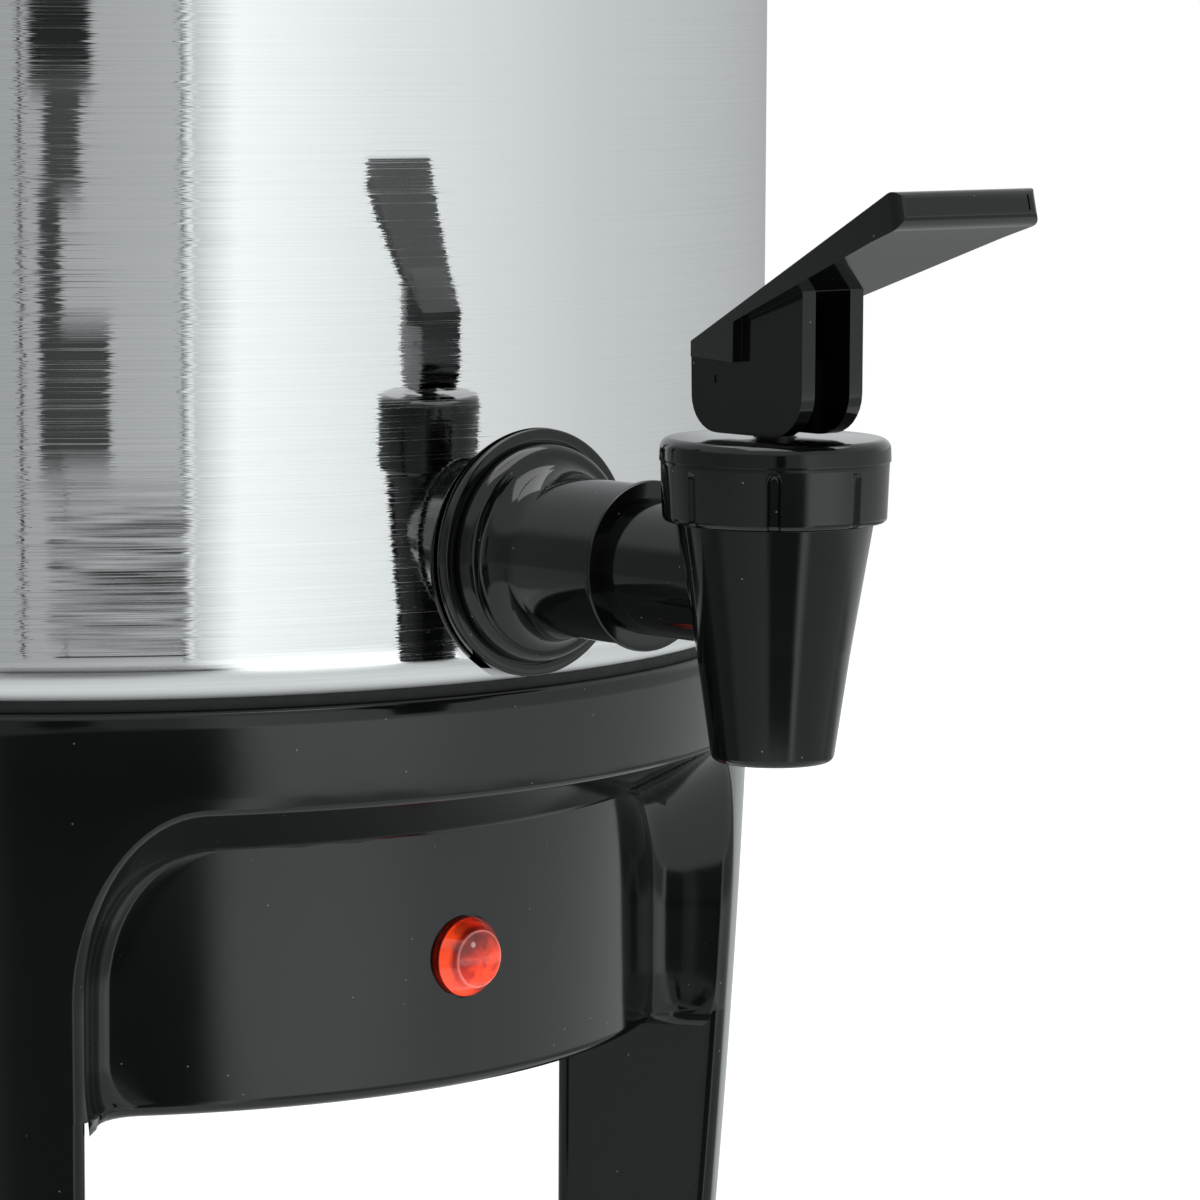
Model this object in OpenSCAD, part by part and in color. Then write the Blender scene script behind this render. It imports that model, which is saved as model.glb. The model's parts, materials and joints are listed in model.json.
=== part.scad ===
// Percolating coffee urn: a drawn aluminium tank on a moulded base with four
// legs, with a lever tap, side handles, a lift-off lid and a pump with basket.
// The table is z = 0 and the tap points along -Y.

/* [Tank] */
// Outside diameter of the tank wall
tank_d = 244.4; // [236:0.2:252]
// Height of the tank wall above its bottom
tank_h = 205; // [195:1:230]
// Thickness of the drawn aluminium
tank_wall = 1; // [0.8:0.1:1.4]
// Outside radius of the corner between wall and bottom
tank_corner_r = 4; // [3:0.5:6]
// Radius of the curled bead at the mouth
rim_bead_r = 2.4; // [2:0.1:3]
// Outside diameter of the heater well in the bottom
well_d = 53.8; // [46:0.2:58]
// Depth of the heater well below the tank's bottom
well_depth = 17; // [14:0.5:20]
// Thickness of the well's pressed cup
well_wall = 1; // [0.8:0.1:1.4]

/* [Base] */
// Height of the joint between tank and base above the table
base_h = 125; // [118:1:140]
// Thickness of the gasket between tank and base
seam_h = 1.8; // [1.2:0.1:2.4]
// Outside diameter of the base at its top
base_top_d = 240.6; // [236:0.2:246]
// Outside diameter around the legs at their feet
base_foot_d = 227; // [222:0.5:232]
// Thickness of the moulded wall
base_wall = 3; // [2.5:0.1:3.5]
// Outside diameter of the three recessed panels
panel_d = 210.2; // [206:0.2:214]
// Depth of the panels' lower edge below the joint
panel_drop = 69.5; // [66:0.5:74]
// Depth of the ledge above each panel below the joint
ledge_drop = 18; // [15:0.5:21]
// Height of the sloping face between ledge and panel
bevel_h = 9; // [7:0.5:11]
// Width of the sloping face beside each leg
bevel_side = 4.2; // [3:0.1:5]
// Radius of the panels' upper corners
panel_corner_r = 19; // [14:0.5:22]
// Angle that a leg covers, seen from the tank's axis, in degrees
leg_a = 16.8; // [15:0.1:18.5]
// Depth of a leg from its outer face at the foot
leg_depth = 26; // [24:0.5:28]
// Diameter of a rubber foot
foot_d = 15; // [12:0.5:17]
// How far a foot stands out of its leg
foot_h = 3; // [2:0.5:5]
// Thickness of the steel bottom plate
plate_t = 1; // [0.8:0.1:1.5]
// How far the bottom plate lies above the panels' lower edge
plate_inset = 3; // [2:0.5:5]

/* [Tap] */
// Height of the shank's axis above the joint
tap_rise = 20.6; // [19.5:0.1:23]
// Reach from the tank's wall to the spout's axis
tap_reach = 54.3; // [50:0.1:60]
// Diameter of the escutcheon's flange
flange_d = 40; // [36:0.5:41]
// Thickness of the flange's rim
flange_t = 3; // [2.5:0.1:3.5]
// Diameter of the raised ring on the flange
ring_d = 34.6; // [32:0.2:35.4]
// Diameter of the escutcheon's neck
neck_d = 25.4; // [24:0.2:26]
// Diameter of the thin collar at the neck's end
collar_d = 27; // [26.2:0.1:29]
// Thickness of the collar
collar_t = 1; // [0.8:0.1:1.5]
// Length of the escutcheon, flange and collar included
escutcheon_l = 28.3; // [26:0.1:30]
// Diameter of the shank in front of the collar
shank_d = 21.5; // [20:0.1:23]
// Diameter of the threaded shank that passes the tank's wall
thread_d = 17.6; // [16:0.1:18.4]
// Bore of the shank
shank_bore = 10; // [8:0.1:11]
// Diameter of the spout's cone under the bonnet
spout_top_d = 30.4; // [29.6:0.1:31]
// Diameter of the spout's cone at the outlet
spout_end_d = 18.8; // [18.2:0.1:21]
// Length of the visible cone
spout_h = 37; // [35:0.1:40]
// Height of the cone's top above the shank's axis
spout_up = 9.3; // [8.6:0.1:10]
// Bore of the outlet
outlet_d = 15; // [13:0.1:15.4]
// Diameter of the bonnet
bonnet_d = 35.3; // [34.2:0.1:36]
// Height of the bonnet
bonnet_h = 12.8; // [12:0.1:14]
// Diameter of the tap's stem
stem_d = 6; // [5:0.1:6.4]
// Wire of the closing spring
spring_wire = 0.9; // [0.7:0.05:1.1]

/* [Lever] */
// Gap between the lever's cheeks and the bonnet
lever_gap = 0.5; // [0.4:0.1:1.2]
// Outside width over both cheeks
yoke_w = 13; // [12.6:0.1:14]
// Thickness of a cheek
cheek_t = 2.8; // [2.4:0.1:2.9]
// Length of a cheek along the lever
cheek_l = 24; // [23:0.2:26]
// Radius of the cheeks' lower corners
cheek_r = 6; // [5.6:0.1:6.6]
// Height of the hinge pin above the cheeks' lower edge
pin_up = 7; // [6.6:0.1:8]
// Diameter of the hinge pin
pin_d = 3; // [2.4:0.1:3.2]
// Reach of the paddle's tip from the spout's axis
paddle_reach = 39.5; // [36:0.5:44]
// Width of the paddle at its tip
paddle_w = 29; // [28:0.5:34]
// Forward lean of the tip's end face, from its top edge to its lower edge
paddle_lean = 1.3; // [1:0.1:2]
// Slope of the paddle's top face in degrees
paddle_slope = 26; // [24:0.5:28]
// Thickness of the paddle at its tip
paddle_tip_t = 4.9; // [4:0.1:5.4]
// Thickness of the paddle at its root
paddle_root_t = 2; // [1.6:0.1:2.6]
// Height of the paddle's root above the cheeks' lower edge
paddle_up = 13.5; // [13:0.1:15]

/* [Pilot light] */
// Depth of the light's axis below the joint
light_drop = 47.6; // [44:0.2:50]
// Diameter of the lens's flange
lens_flange_d = 13.2; // [12:0.1:14]
// Diameter of the lens's dome
lens_d = 9.2; // [8.6:0.1:10]
// Diameter of the lens's barrel behind the panel
lens_barrel_d = 10; // [9.2:0.1:10.6]

/* [Handles] */
// Height of the handles' axis above the joint
handle_up = 150; // [130:1:165]
// Distance between the handles' two posts
handle_l = 92; // [84:1:100]
// Distance from the tank's wall to the grip's outer side
handle_reach = 46; // [42:0.5:52]
// Thickness of the grip
grip_t = 15; // [13:0.5:17]
// Height of the grip
grip_h = 20; // [17:0.5:23]

/* [Lid] */
// Rise of the lid's dome above the tank's mouth
dome_h = 20; // [14:0.5:26]
// Thickness of the lid
lid_t = 1; // [0.8:0.1:1.4]
// Depth of the skirt that enters the tank's mouth
skirt_h = 9; // [7:0.5:12]
// Diameter of the knob
knob_d = 44; // [38:0.5:48]
// Height of the knob
knob_h = 30; // [26:0.5:34]

/* [Percolator] */
// Outside diameter of the pump tube
tube_d = 10; // [9:0.1:11]
// Height of the pump tube's top above the tank's bottom
tube_top = 186; // [182:1:190]
// Diameter of the pump's flared foot
pump_foot_d = 44; // [38:0.5:48]
// Diameter of the coffee basket
basket_d = 124; // [110:1:136]
// Height of the coffee basket
basket_h = 72; // [60:1:78]
// Height of the basket's bottom above the tank's bottom
basket_up = 92; // [84:1:98]

/* [Hidden] */

$fn = 96;
eps = 0.01;
cut = 1; // overshoot of a cutter past the face that it cuts

tank_r = tank_d / 2;
tank_top = base_h + tank_h;
floor_top = base_h + tank_wall; // the tank's inner bottom

// base
base_top = base_h - seam_h;
leg_foot = foot_h; // height of a leg's end above the table
panel_r = panel_d / 2;
skin_r = base_top_d / 2;
panel_z = base_h - panel_drop;
ledge_z = base_h - ledge_drop;
shell_r = panel_r - base_wall; // inside of the panels
plate_z = panel_z + plate_inset;
leg_in_r = base_foot_d / 2 - leg_depth;
base_drop = base_top - leg_foot;
foot_r = base_foot_d / 2 - leg_depth / 2;
leg_az = [45, -45, 180]; // azimuths of the legs, from the tap towards +X
front_span = 45; // half of the angle between the front legs
side_span = 67.5; // half of the angle between a front leg and the rear one
skin_steps = 12;

// Radius of the base's outer skin at a height: it leans in faster near the feet.
function skin(z) = let (u = (base_top - z) / base_drop)
    skin_r - (skin_r - base_foot_d / 2) * (0.52 * u + 0.48 * u * u);

// Point at a radius and an azimuth from the tap, in plan.
function polar(r, az) = [r * sin(az), -r * cos(az)];

// Corners of a recess between two legs that stand span to each side of its middle.
function recess_in(span) = polar(panel_r, span - leg_a / 2 - asin(bevel_side / panel_r));
function recess_out(span) = polar(skin(ledge_z), span - leg_a / 2);
function recess_far(span) = 2 * recess_out(span) - recess_in(span);
function recess_near(span) = 2 * recess_in(span) - recess_out(span);

// Points of a circular arc.
function arc(cx, cy, r, a0, a1, n = 8) =
    [for (i = [0:n]) let (a = a0 + (a1 - a0) * i / n) [cx + r * cos(a), cy + r * sin(a)]];

// tap: along the shank, distances are measured from the tank's axis
tap_z = base_h + tap_rise;
spout_r0 = tank_r + tap_reach;
seat_r0 = tank_r - 1.8; // the flat seat pressed in the tank's wall
gasket_t = 0.5;
inner_gasket_t = 1.5;
nut_t = 6;
nut_af = 27;
esc_back = seat_r0 + gasket_t;
esc_front = esc_back + escutcheon_l;
thread_gap = 0.1;
cone_top = tap_z + spout_up;
cone_end = cone_top - spout_h;
bonnet_top = cone_top + bonnet_h;
bonnet_wall = 2.4;
bonnet_gap = 0.4; // between the bonnet and the shank's end
neck_r = spout_top_d / 2 - 0.3; // threaded neck inside the bonnet
seal_t = 1.6;
neck_top = bonnet_top - bonnet_wall - seal_t;
seat_z = tap_z - 7.6; // top of the valve seat
seat_bore = 9;
seat_t = 2;
cup_d = 15;
cup_h = 10;
cup_lift_gap = 0.1;
fit = 0.08; // radial clearance of a running fit
spring_z0 = seat_z + cup_lift_gap + cup_h;
spring_z1 = bonnet_top - bonnet_wall - 0.05;
spring_turns = 5;
spring_r = stem_d / 2 + 1.6;

// lever
yoke_z = bonnet_top + lever_gap;
pin_z = yoke_z + pin_up;
cheek_back = -cheek_l / 2 + 0.5;
cheek_front = cheek_l / 2 + 0.5;
pin_blind = 1.6; // how far the pin enters each cheek
slot_w = yoke_w - 2 * cheek_t;
paddle_back = cheek_back;
root_z = yoke_z + paddle_up;
tip_z = root_z + (paddle_reach - paddle_back) * tan(paddle_slope);
web_t = 2;

// pilot light
light_z = base_h - light_drop;
light_face = panel_r;
lens_rim = 0.9; // thickness of the lens's flange
lens_front = 3.6;
lens_dome = 0.6;
lamp_back = 22; // from the panel to the lamp holder's rear
lead_x = 2.6;
lead_l = 4;
wire_gap = 0.3; // between a wire's end and its terminal
wire_end = 2; // straight end of a wire
pole_pitch = 12; // of the terminal block
block_wire_z = 9; // wire entries above the bottom plate
blade_tail = 6; // inlet blades behind the socket
element_r = 62;
clip_l = 18; // clips that hold the warming element
clip_w = 8;
clip_h = 6.9;
nut_d = 11.5;
nut_drop = 6.2;
handle_head_d = 8;
handle_head_h = 2.4;
handle_screw_in = 14; // length in the handle
tab_t = 0.8;
stud_proud = 7; // below the bottom plate
stud_head_d = 16;
nut_washer_d = 18;
perf_r0 = 16; // innermost ring of basket holes
perf_step = 12;
tab_z = 4; // band heater's tabs above the well's floor
thermo_h = 12;
thermo_tab = 5;
fuse_l = 14;
fuse_drop = 2.6; // its axis below the tank's floor
block_w = 18;
handle_gap = 0.05; // posts off their saddles

// lid
lid_z = tank_top + rim_bead_r * 2;
skirt_gap = 0.5;
skirt_r = tank_r - tank_wall - skirt_gap;
lid_gap = 0.3;
knob_z = lid_z + lid_gap + dome_h;
knob_stem_h = 8;
knob_bore = 4.2;
washer_t = 1;
washer_z = knob_z - lid_t - 0.2 - washer_t;

// percolator
tube_r = tube_d / 2;
tube_bore = 3.6;
well_floor = base_h - well_depth + well_wall;
foot_z = well_floor + 0.3;
pump_foot_h = 15;
tube_end = base_h + tube_top;
stop_t = 1.2;
basket_z = base_h + basket_up;
basket_t = 0.8;
sleeve_r = tube_r + 0.3;
cover_z = basket_z + basket_h + 0.3;

// handles
handle_z = base_h + handle_up;
bracket_t = 1.5;
bracket_h = 24;
bracket_w = 22;
post_d = 14;
saddle_x = sqrt(pow(tank_r, 2) - pow(handle_l / 2 - bracket_w / 2, 2)) + 0.5; // flat of the saddles
post_x = saddle_x + bracket_t;
screw_x = sqrt(pow(tank_r - tank_wall, 2) - pow(handle_l / 2 + 4.2, 2)) - 0.1; // inside the wall

// base interior
stud_d = 6;
shield_z = base_h - 34;
shield_t = 0.8;
shield_r = shell_r - 9;
band_t = 3;
band_h = 10;
inlet_z = plate_z + 16;
inlet_w = 31;
inlet_h = 22;
inlet_d = 24;
inlet_flange_w = 49;
wire_r = 1.3;
inlet_seat = sqrt(pow(panel_r, 2) - pow(inlet_flange_w / 2, 2)) - 0.6;
boss_a = 22;
boss_d = 9;
boss_h = 14;
boss_r0 = shell_r - 3.5;
thermo_at = [0, 40];
fuse_at = [-44, 22];
block_at = [34, 40];

// A child drawn with its z axis along the shank, out of the tank's axis.
module along_tap() {
    translate([0, 0, tap_z]) rotate([90, 0, 0]) children();
}

// A ring or tube along the shank between two distances from the tank's axis.
module tap_ring(r_out, r_in, from, to) {
    along_tap() translate([0, 0, from]) difference() {
        cylinder(r = r_out, h = to - from);
        if (r_in > 0) translate([0, 0, -cut]) cylinder(r = r_in, h = to - from + 2 * cut);
    }
}

// A child drawn on the spout's vertical axis.
module at_spout() {
    translate([0, -spout_r0, 0]) children();
}

// A side outline, x forward and y up, given a width across the lever.
module side_view(w) {
    at_spout() rotate([90, 0, -90]) linear_extrude(height = w, center = true) children();
}

module ring(r_out, r_in, z, h) {
    translate([0, 0, z]) difference() {
        cylinder(r = r_out, h = h);
        translate([0, 0, -cut]) cylinder(r = r_in, h = h + 2 * cut);
    }
}

// Four copies, one at each quarter turn.
module quarters(a0 = 0) {
    for (i = [0:3]) rotate([0, 0, a0 + 90 * i]) children();
}

// ---- tank ----

// Right half of the tank's section, or of a solid of the same outside.
module tank_profile(solid = false) {
    r = tank_r;
    w = tank_wall;
    c = tank_corner_r;
    x0 = solid ? 0 : well_d / 2 + 0.1;
    top = tank_h + rim_bead_r;
    polygon(concat(
        [[x0, 0]],
        arc(r - c, c, c, -90, 0),
        solid ? [[r, top], [x0, top]]
            : concat([[r, top], [r - w, top]], arc(r - c, c, c - w, 0, -90), [[x0, w]])
    ));
}

module tank() {
    seat_r = flange_d / 2 + 0.3;
    color("lightgrey") difference() {
        union() {
            translate([0, 0, base_h]) rotate_extrude() tank_profile();
            // curled bead, outside the wall
            translate([0, 0, tank_top]) rotate_extrude()
                translate([tank_r - tank_wall + rim_bead_r, rim_bead_r]) circle(r = rim_bead_r);
            // flat seat for the tap, pressed inwards
            intersection() {
                tap_ring(seat_r + tank_wall, 0, seat_r0 - tank_wall, tank_r + cut);
                translate([0, 0, base_h]) rotate_extrude() tank_profile(solid = true);
            }
        }
        along_tap() translate([0, 0, seat_r0]) cylinder(r = seat_r, h = 10);
        along_tap() translate([0, 0, seat_r0 - 10]) cylinder(d = thread_d + 0.6, h = 20);
        for (s = [-1, 1], t = [-1, 1]) translate([0, t * handle_l / 2, handle_z])
            rotate([0, s * 90, 0]) translate([0, 0, tank_r / 2]) cylinder(d = 4.4, h = tank_r);
    }
}

module heater_well() {
    z = base_h - well_depth;
    color("silver") difference() {
        union() {
            translate([0, 0, z]) cylinder(d = well_d, h = well_depth + tank_wall);
            translate([0, 0, floor_top]) cylinder(r = well_d / 2 + 7, h = 0.8);
        }
        translate([0, 0, z + well_wall])
            cylinder(r = well_d / 2 - well_wall, h = well_depth + 10);
    }
}

module seam_gasket() {
    color("black") ring(skin_r - 1.6, skin_r - 9, base_top, seam_h);
}

// ---- base ----

// Section of the base's outer form from height z0 to z1, with an inner radius.
module skin_section(z0, z1, r_in, inset = 0) {
    polygon(concat(
        [[r_in, z0]],
        [for (i = [0:skin_steps]) let (z = z0 + (z1 - z0) * i / skin_steps) [skin(z) - inset, z]],
        [[r_in, z1]]
    ));
}

// Plan of one recess: it opens outwards between two legs.
module recess_plan(span) {
    far = recess_far(span);
    half = [recess_near(span), far, [far.x, -skin_r - 15]];
    polygon(concat(half, [for (i = [2:-1:0]) [-half[i].x, half[i].y]]));
}

// Rounds one upper corner of a recess: what this draws is left standing.
module recess_corner(side, span) {
    r = panel_corner_r;
    turn = span - leg_a / 2 - asin(r / skin_r);
    corner = recess_in(span);
    r_in = panel_r * sin(atan2(corner.x, -corner.y) - turn);
    slope = (r - r_in) / (skin(ledge_z) - panel_r);
    back = 12;
    front = 28;
    rotate([0, 0, side * turn]) translate([0, 0, ledge_z - r])
        rotate([90, 0, 0]) translate([0, 0, panel_r]) difference() {
            translate([side > 0 ? 0 : -2 * r, 0, -back + 1]) cube([2 * r, 2 * r, front + back - 2]);
            translate([0, 0, -back])
                cylinder(r1 = r_in - back * slope, r2 = r_in + front * slope, h = front + back);
        }
}

module recess(span) {
    low = panel_z - 10;
    difference() {
        intersection() {
            rotate_extrude() polygon([
                [panel_r, low], [panel_r, ledge_z - bevel_h],
                [skin(ledge_z), ledge_z], [skin_r + 12, ledge_z], [skin_r + 12, low]
            ]);
            translate([0, 0, low]) linear_extrude(height = ledge_z - low + cut)
                recess_plan(span);
        }
        for (side = [-1, 1]) recess_corner(side, span);
    }
}

// A child drawn in the leg that points to -Y, at every leg.
module at_legs() {
    for (a = leg_az) rotate([0, 0, a]) children();
}

// A child drawn for an inlet that faces +Y, turned to the inlet's side.
module to_inlet() {
    rotate([0, 0, -90]) children();
}

// Plan of the legs from radius r0 out. The sides point at the tank's axis, moved in by inset.
module leg_plan(r0, inset = 0) {
    far = skin_r + 5;
    at_legs() intersection() {
        translate([0, -inset / sin(leg_a / 2)])
            polygon([[0, 0], polar(far, leg_a / 2), polar(far, -leg_a / 2)]);
        translate([-far, -far]) square([2 * far, far - r0]);
    }
}

module base() {
    color("black") difference() {
        intersection() {
            rotate_extrude() skin_section(leg_foot, base_top, leg_in_r);
            union() {
                ring(skin_r + 5, shell_r, panel_z, base_drop);
                translate([0, 0, leg_foot - cut]) linear_extrude(height = base_drop + 2 * cut)
                    leg_plan(leg_in_r - 4);
            }
        }
        recess(front_span);
        for (s = [-1, 1]) rotate([0, 0, s * (front_span + side_span)]) recess(side_span);
        // hollow behind the panels, and wider behind the upper band
        rotate_extrude() polygon([
            [0, plate_z - 0.05], [shell_r, plate_z - 0.05], [shell_r, ledge_z - bevel_h],
            [skin(ledge_z) - base_wall - 1, ledge_z + base_wall],
            [skin_r - 8, base_top - 4], [skin_r - 8, base_top + cut], [0, base_top + cut]
        ]);
        // hollow legs, open into the base
        intersection() {
            rotate_extrude() skin_section(leg_foot + 8, base_top - 8,
                leg_in_r + base_wall, base_wall);
            translate([0, 0, leg_foot + 8]) linear_extrude(height = base_drop - 16)
                leg_plan(leg_in_r, base_wall);
        }
        // sockets of the rubber feet
        at_legs() translate([0, -foot_r, leg_foot - cut])
            cylinder(d = foot_d * 0.6 + 0.1, h = 4 + cut);
        // pilot light
        translate([0, 0, light_z]) rotate([90, 0, 0]) translate([0, 0, shell_r - 5])
            cylinder(d = lens_barrel_d + 0.3, h = 20);
        // power inlet in the panel at +X
        to_inlet() {
            translate([-inlet_w / 2 - 0.2, shell_r - 12, inlet_z - inlet_h / 2 - 0.2])
                cube([inlet_w + 0.4, 30, inlet_h + 0.4]);
            translate([-inlet_flange_w / 2 - 0.2, inlet_seat, inlet_z - inlet_h / 2 - 3.2])
                cube([inlet_flange_w + 0.4, 30, inlet_h + 6.4]);
            for (s = [-1, 1]) translate([s * 20, shell_r - 12, inlet_z])
                rotate([-90, 0, 0]) cylinder(d = 3.2, h = 30);
        }
    }
    color("black") quarters(boss_a) plate_boss();
}

// Screw boss on the inner wall that carries the bottom plate.
module plate_boss() {
    translate([0, -boss_r0, plate_z + plate_t]) difference() {
        intersection() {
            cylinder(d = boss_d, h = boss_h);
            translate([0, boss_r0, 0]) cylinder(r = shell_r + 0.5, h = boss_h);
        }
        translate([0, 0, -cut]) cylinder(d = 3, h = boss_h - 3 + cut);
    }
}

module rubber_feet() {
    color("dimgray") at_legs() translate([0, -foot_r, 0]) {
        cylinder(d = foot_d, h = foot_h);
        translate([0, 0, foot_h - eps]) cylinder(d = foot_d * 0.6, h = 3.8);
    }
}

module bottom_plate() {
    color("silver") difference() {
        translate([0, 0, plate_z]) cylinder(r = shell_r - 0.3, h = plate_t);
        quarters(boss_a) translate([0, -boss_r0, plate_z - cut])
            cylinder(d = 3.4, h = plate_t + 2 * cut);
        translate([0, 0, plate_z - cut]) cylinder(d = stud_d + 0.6, h = plate_t + 2 * cut);
        // vent holes
        for (a = [0:30:330]) rotate([0, 0, a + 15]) translate([shell_r * 0.66, 0, plate_z - cut])
            cylinder(d = 6, h = plate_t + 2 * cut);
    }
}

module plate_screws() {
    color("silver") quarters(boss_a) translate([0, -boss_r0, plate_z]) {
        translate([0, 0, -2]) difference() {
            cylinder(d = 6, h = 2);
            for (a = [0, 90]) rotate([0, 0, a]) translate([-1.7, -0.4, -cut])
                cube([3.4, 0.8, 1 + cut]);
        }
        translate([0, 0, -eps]) cylinder(d = 2.9, h = 10);
    }
}

module centre_stud() {
    z1 = base_h - well_depth;
    color("silver") {
        translate([0, 0, plate_z - stud_proud]) cylinder(d = stud_d, h = z1 - plate_z + stud_proud);
        translate([0, 0, z1 - 1.5]) cylinder(d = stud_head_d, h = 1.5);
    }
}

module centre_nut() {
    color("silver") difference() {
        union() {
            translate([0, 0, plate_z - 1.2]) cylinder(d = nut_washer_d, h = 1.2);
            translate([0, 0, plate_z - nut_drop]) cylinder(d = nut_d, h = 5 + eps, $fn = 6);
        }
        translate([0, 0, plate_z - 7]) cylinder(d = stud_d + 0.1, h = 8);
    }
}

module heat_shield() {
    color("gainsboro") difference() {
        union() {
            translate([0, 0, shield_z]) cylinder(r = shield_r, h = shield_t);
            ring(shield_r, shield_r - shield_t, shield_z, 6);
            // collar that grips the stud
            translate([0, 0, shield_z - 5]) cylinder(d = stud_d + 5, h = 5 + eps);
        }
        translate([0, 0, shield_z - 6]) cylinder(d = stud_d + 0.1, h = 10);
        for (s = [-1, 1]) translate([0, s * 30, shield_z - cut])
            cylinder(d = 9, h = shield_t + 2 * cut);
    }
}

module band_heater() {
    r = well_d / 2 + 0.1;
    color("peru") to_inlet() {
        ring(r + band_t, r, base_h - well_depth + 2, band_h);
        for (s = [-1, 1]) translate([s * (r + band_t - 0.2), -3, base_h - well_depth + tab_z])
            translate([s > 0 ? 0 : -6, 0, 0]) cube([6, 6, tab_t]);
    }
}

module warming_element() {
    color("dimgray") to_inlet() {
        translate([0, 0, base_h - 3.1]) rotate_extrude() translate([element_r, 0]) circle(r = 3);
        for (a = [60:120:300]) rotate([0, 0, a])
            translate([element_r - clip_l / 2, -clip_w / 2, base_h - clip_h]) difference() {
                cube([clip_l, clip_w, clip_h]);
                translate([1, -cut, 0.8]) cube([clip_l - 2, clip_w + 2 * cut, clip_h]);
            }
    }
}

module thermostat() {
    color("white") to_inlet() translate([thermo_at[0], thermo_at[1], base_h - thermo_h]) {
        cylinder(d = 16, h = thermo_h);
        for (s = [-1, 1]) translate([s * 4 - 1.5, -tab_t / 2, -thermo_tab])
            cube([3, tab_t, thermo_tab + eps]);
    }
}

module thermal_fuse() {
    color("silver") to_inlet() translate([fuse_at[0], fuse_at[1], base_h - fuse_drop]) {
        rotate([90, 0, 0]) translate([0, 0, -fuse_l / 2]) cylinder(r = 2.2, h = fuse_l);
        translate([-4, -3, -0.4]) cube([8, 6, 3]);
    }
}

module terminal_block() {
    z = plate_z + plate_t;
    color("ivory") to_inlet() translate([block_at[0], block_at[1], z]) difference() {
        translate([-20, -block_w / 2, 0]) cube([40, block_w, 15]);
        for (i = [-1:1]) translate([i * pole_pitch, 0, block_wire_z - 1]) {
            cylinder(d = 5, h = 12);
            translate([0, 0, 1]) rotate([90, 0, 0]) translate([0, 0, -12])
                cylinder(d = 3.2, h = 24);
        }
    }
}

// Three-pin appliance inlet: a flanged frame with a socket and blade pins.
module power_inlet() {
    y1 = inlet_seat + 2.5;
    color("dimgray") to_inlet() {
        difference() {
            union() {
                translate([-inlet_flange_w / 2, inlet_seat, inlet_z - inlet_h / 2 - 3])
                    cube([inlet_flange_w, 2.5, inlet_h + 6]);
                translate([-inlet_w / 2, y1 - inlet_d, inlet_z - inlet_h / 2])
                    cube([inlet_w, inlet_d - 1, inlet_h]);
            }
            translate([-inlet_w / 2 + 2.5, y1 - inlet_d + 3, inlet_z - inlet_h / 2 + 2.5])
                cube([inlet_w - 5, inlet_d, inlet_h - 5]);
            for (s = [-1, 1]) translate([s * 20, inlet_seat - cut, inlet_z])
                rotate([-90, 0, 0]) cylinder(d = 3.4, h = 10);
        }
    }
    for (p = [[-7, -2], [0, 3], [7, -2]]) color("silver") to_inlet()
        translate([p[0] - 1, y1 - inlet_d - blade_tail, inlet_z + p[1] - 2])
            cube([2, inlet_d, 4]);
}

module inlet_screws() {
    y1 = inlet_seat + 2.5;
    color("silver") to_inlet() for (s = [-1, 1]) translate([s * 20, y1, inlet_z]) {
        rotate([-90, 0, 0]) difference() {
            cylinder(d1 = 5.6, d2 = 4.4, h = 1.6);
            for (a = [0, 90]) rotate([0, 0, a]) translate([-1.5, -0.35, 0.8]) cube([3, 0.7, 2]);
        }
        rotate([90, 0, 0]) translate([0, 0, -eps]) cylinder(d = 3.1, h = 10);
    }
}

// ---- wiring ----

// A point on the smooth curve through pts, between points i and i + 1.
function spline(pts, i, t) = let (
        n = len(pts) - 1,
        a = pts[max(i - 1, 0)], b = pts[i], c = pts[i + 1], d = pts[min(i + 2, n)]
    ) 0.5 * ((2 * b) + (c - a) * t + (2 * a - 5 * b + 4 * c - d) * t * t
        + (3 * b - a - 3 * c + d) * t * t * t);

function smooth(pts, k) = concat(
    [for (i = [0:len(pts) - 2]) for (j = [0:k - 1]) spline(pts, i, j / k)],
    [pts[len(pts) - 1]]
);

function unit(v) = v / norm(v);

// A closed tube of radius r along a list of points.
module tube(path, r, sides = 8) {
    n = len(path);
    dirs = [for (i = [0:n - 1]) unit(path[min(i + 1, n - 1)] - path[max(i - 1, 0)])];
    up = [0.31, 0.17, 0.93];
    rings = [for (i = [0:n - 1]) let (u = unit(cross(up, dirs[i])), v = cross(dirs[i], u))
        for (k = [0:sides - 1]) let (a = 360 * k / sides)
            path[i] + r * (u * cos(a) + v * sin(a))];
    sides_f = [for (i = [0:n - 2]) for (k = [0:sides - 1]) let (m = (k + 1) % sides)
        each [[i * sides + k, i * sides + m, (i + 1) * sides + m],
              [i * sides + k, (i + 1) * sides + m, (i + 1) * sides + k]]];
    ends = [
        [for (k = [sides - 1:-1:0]) k],
        [for (k = [0:sides - 1]) (n - 1) * sides + k]
    ];
    polyhedron(points = rings,
        faces = [for (f = concat(sides_f, ends)) [for (j = [len(f) - 1:-1:0]) f[j]]]);
}

// A wire with straight ends a -> b and c -> d, and a smooth route between.
module wire(path) {
    n = len(path) - 1;
    tube(concat([path[0]], smooth([for (i = [1:n - 1]) path[i]], 4), [path[n]]), wire_r);
}

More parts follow.
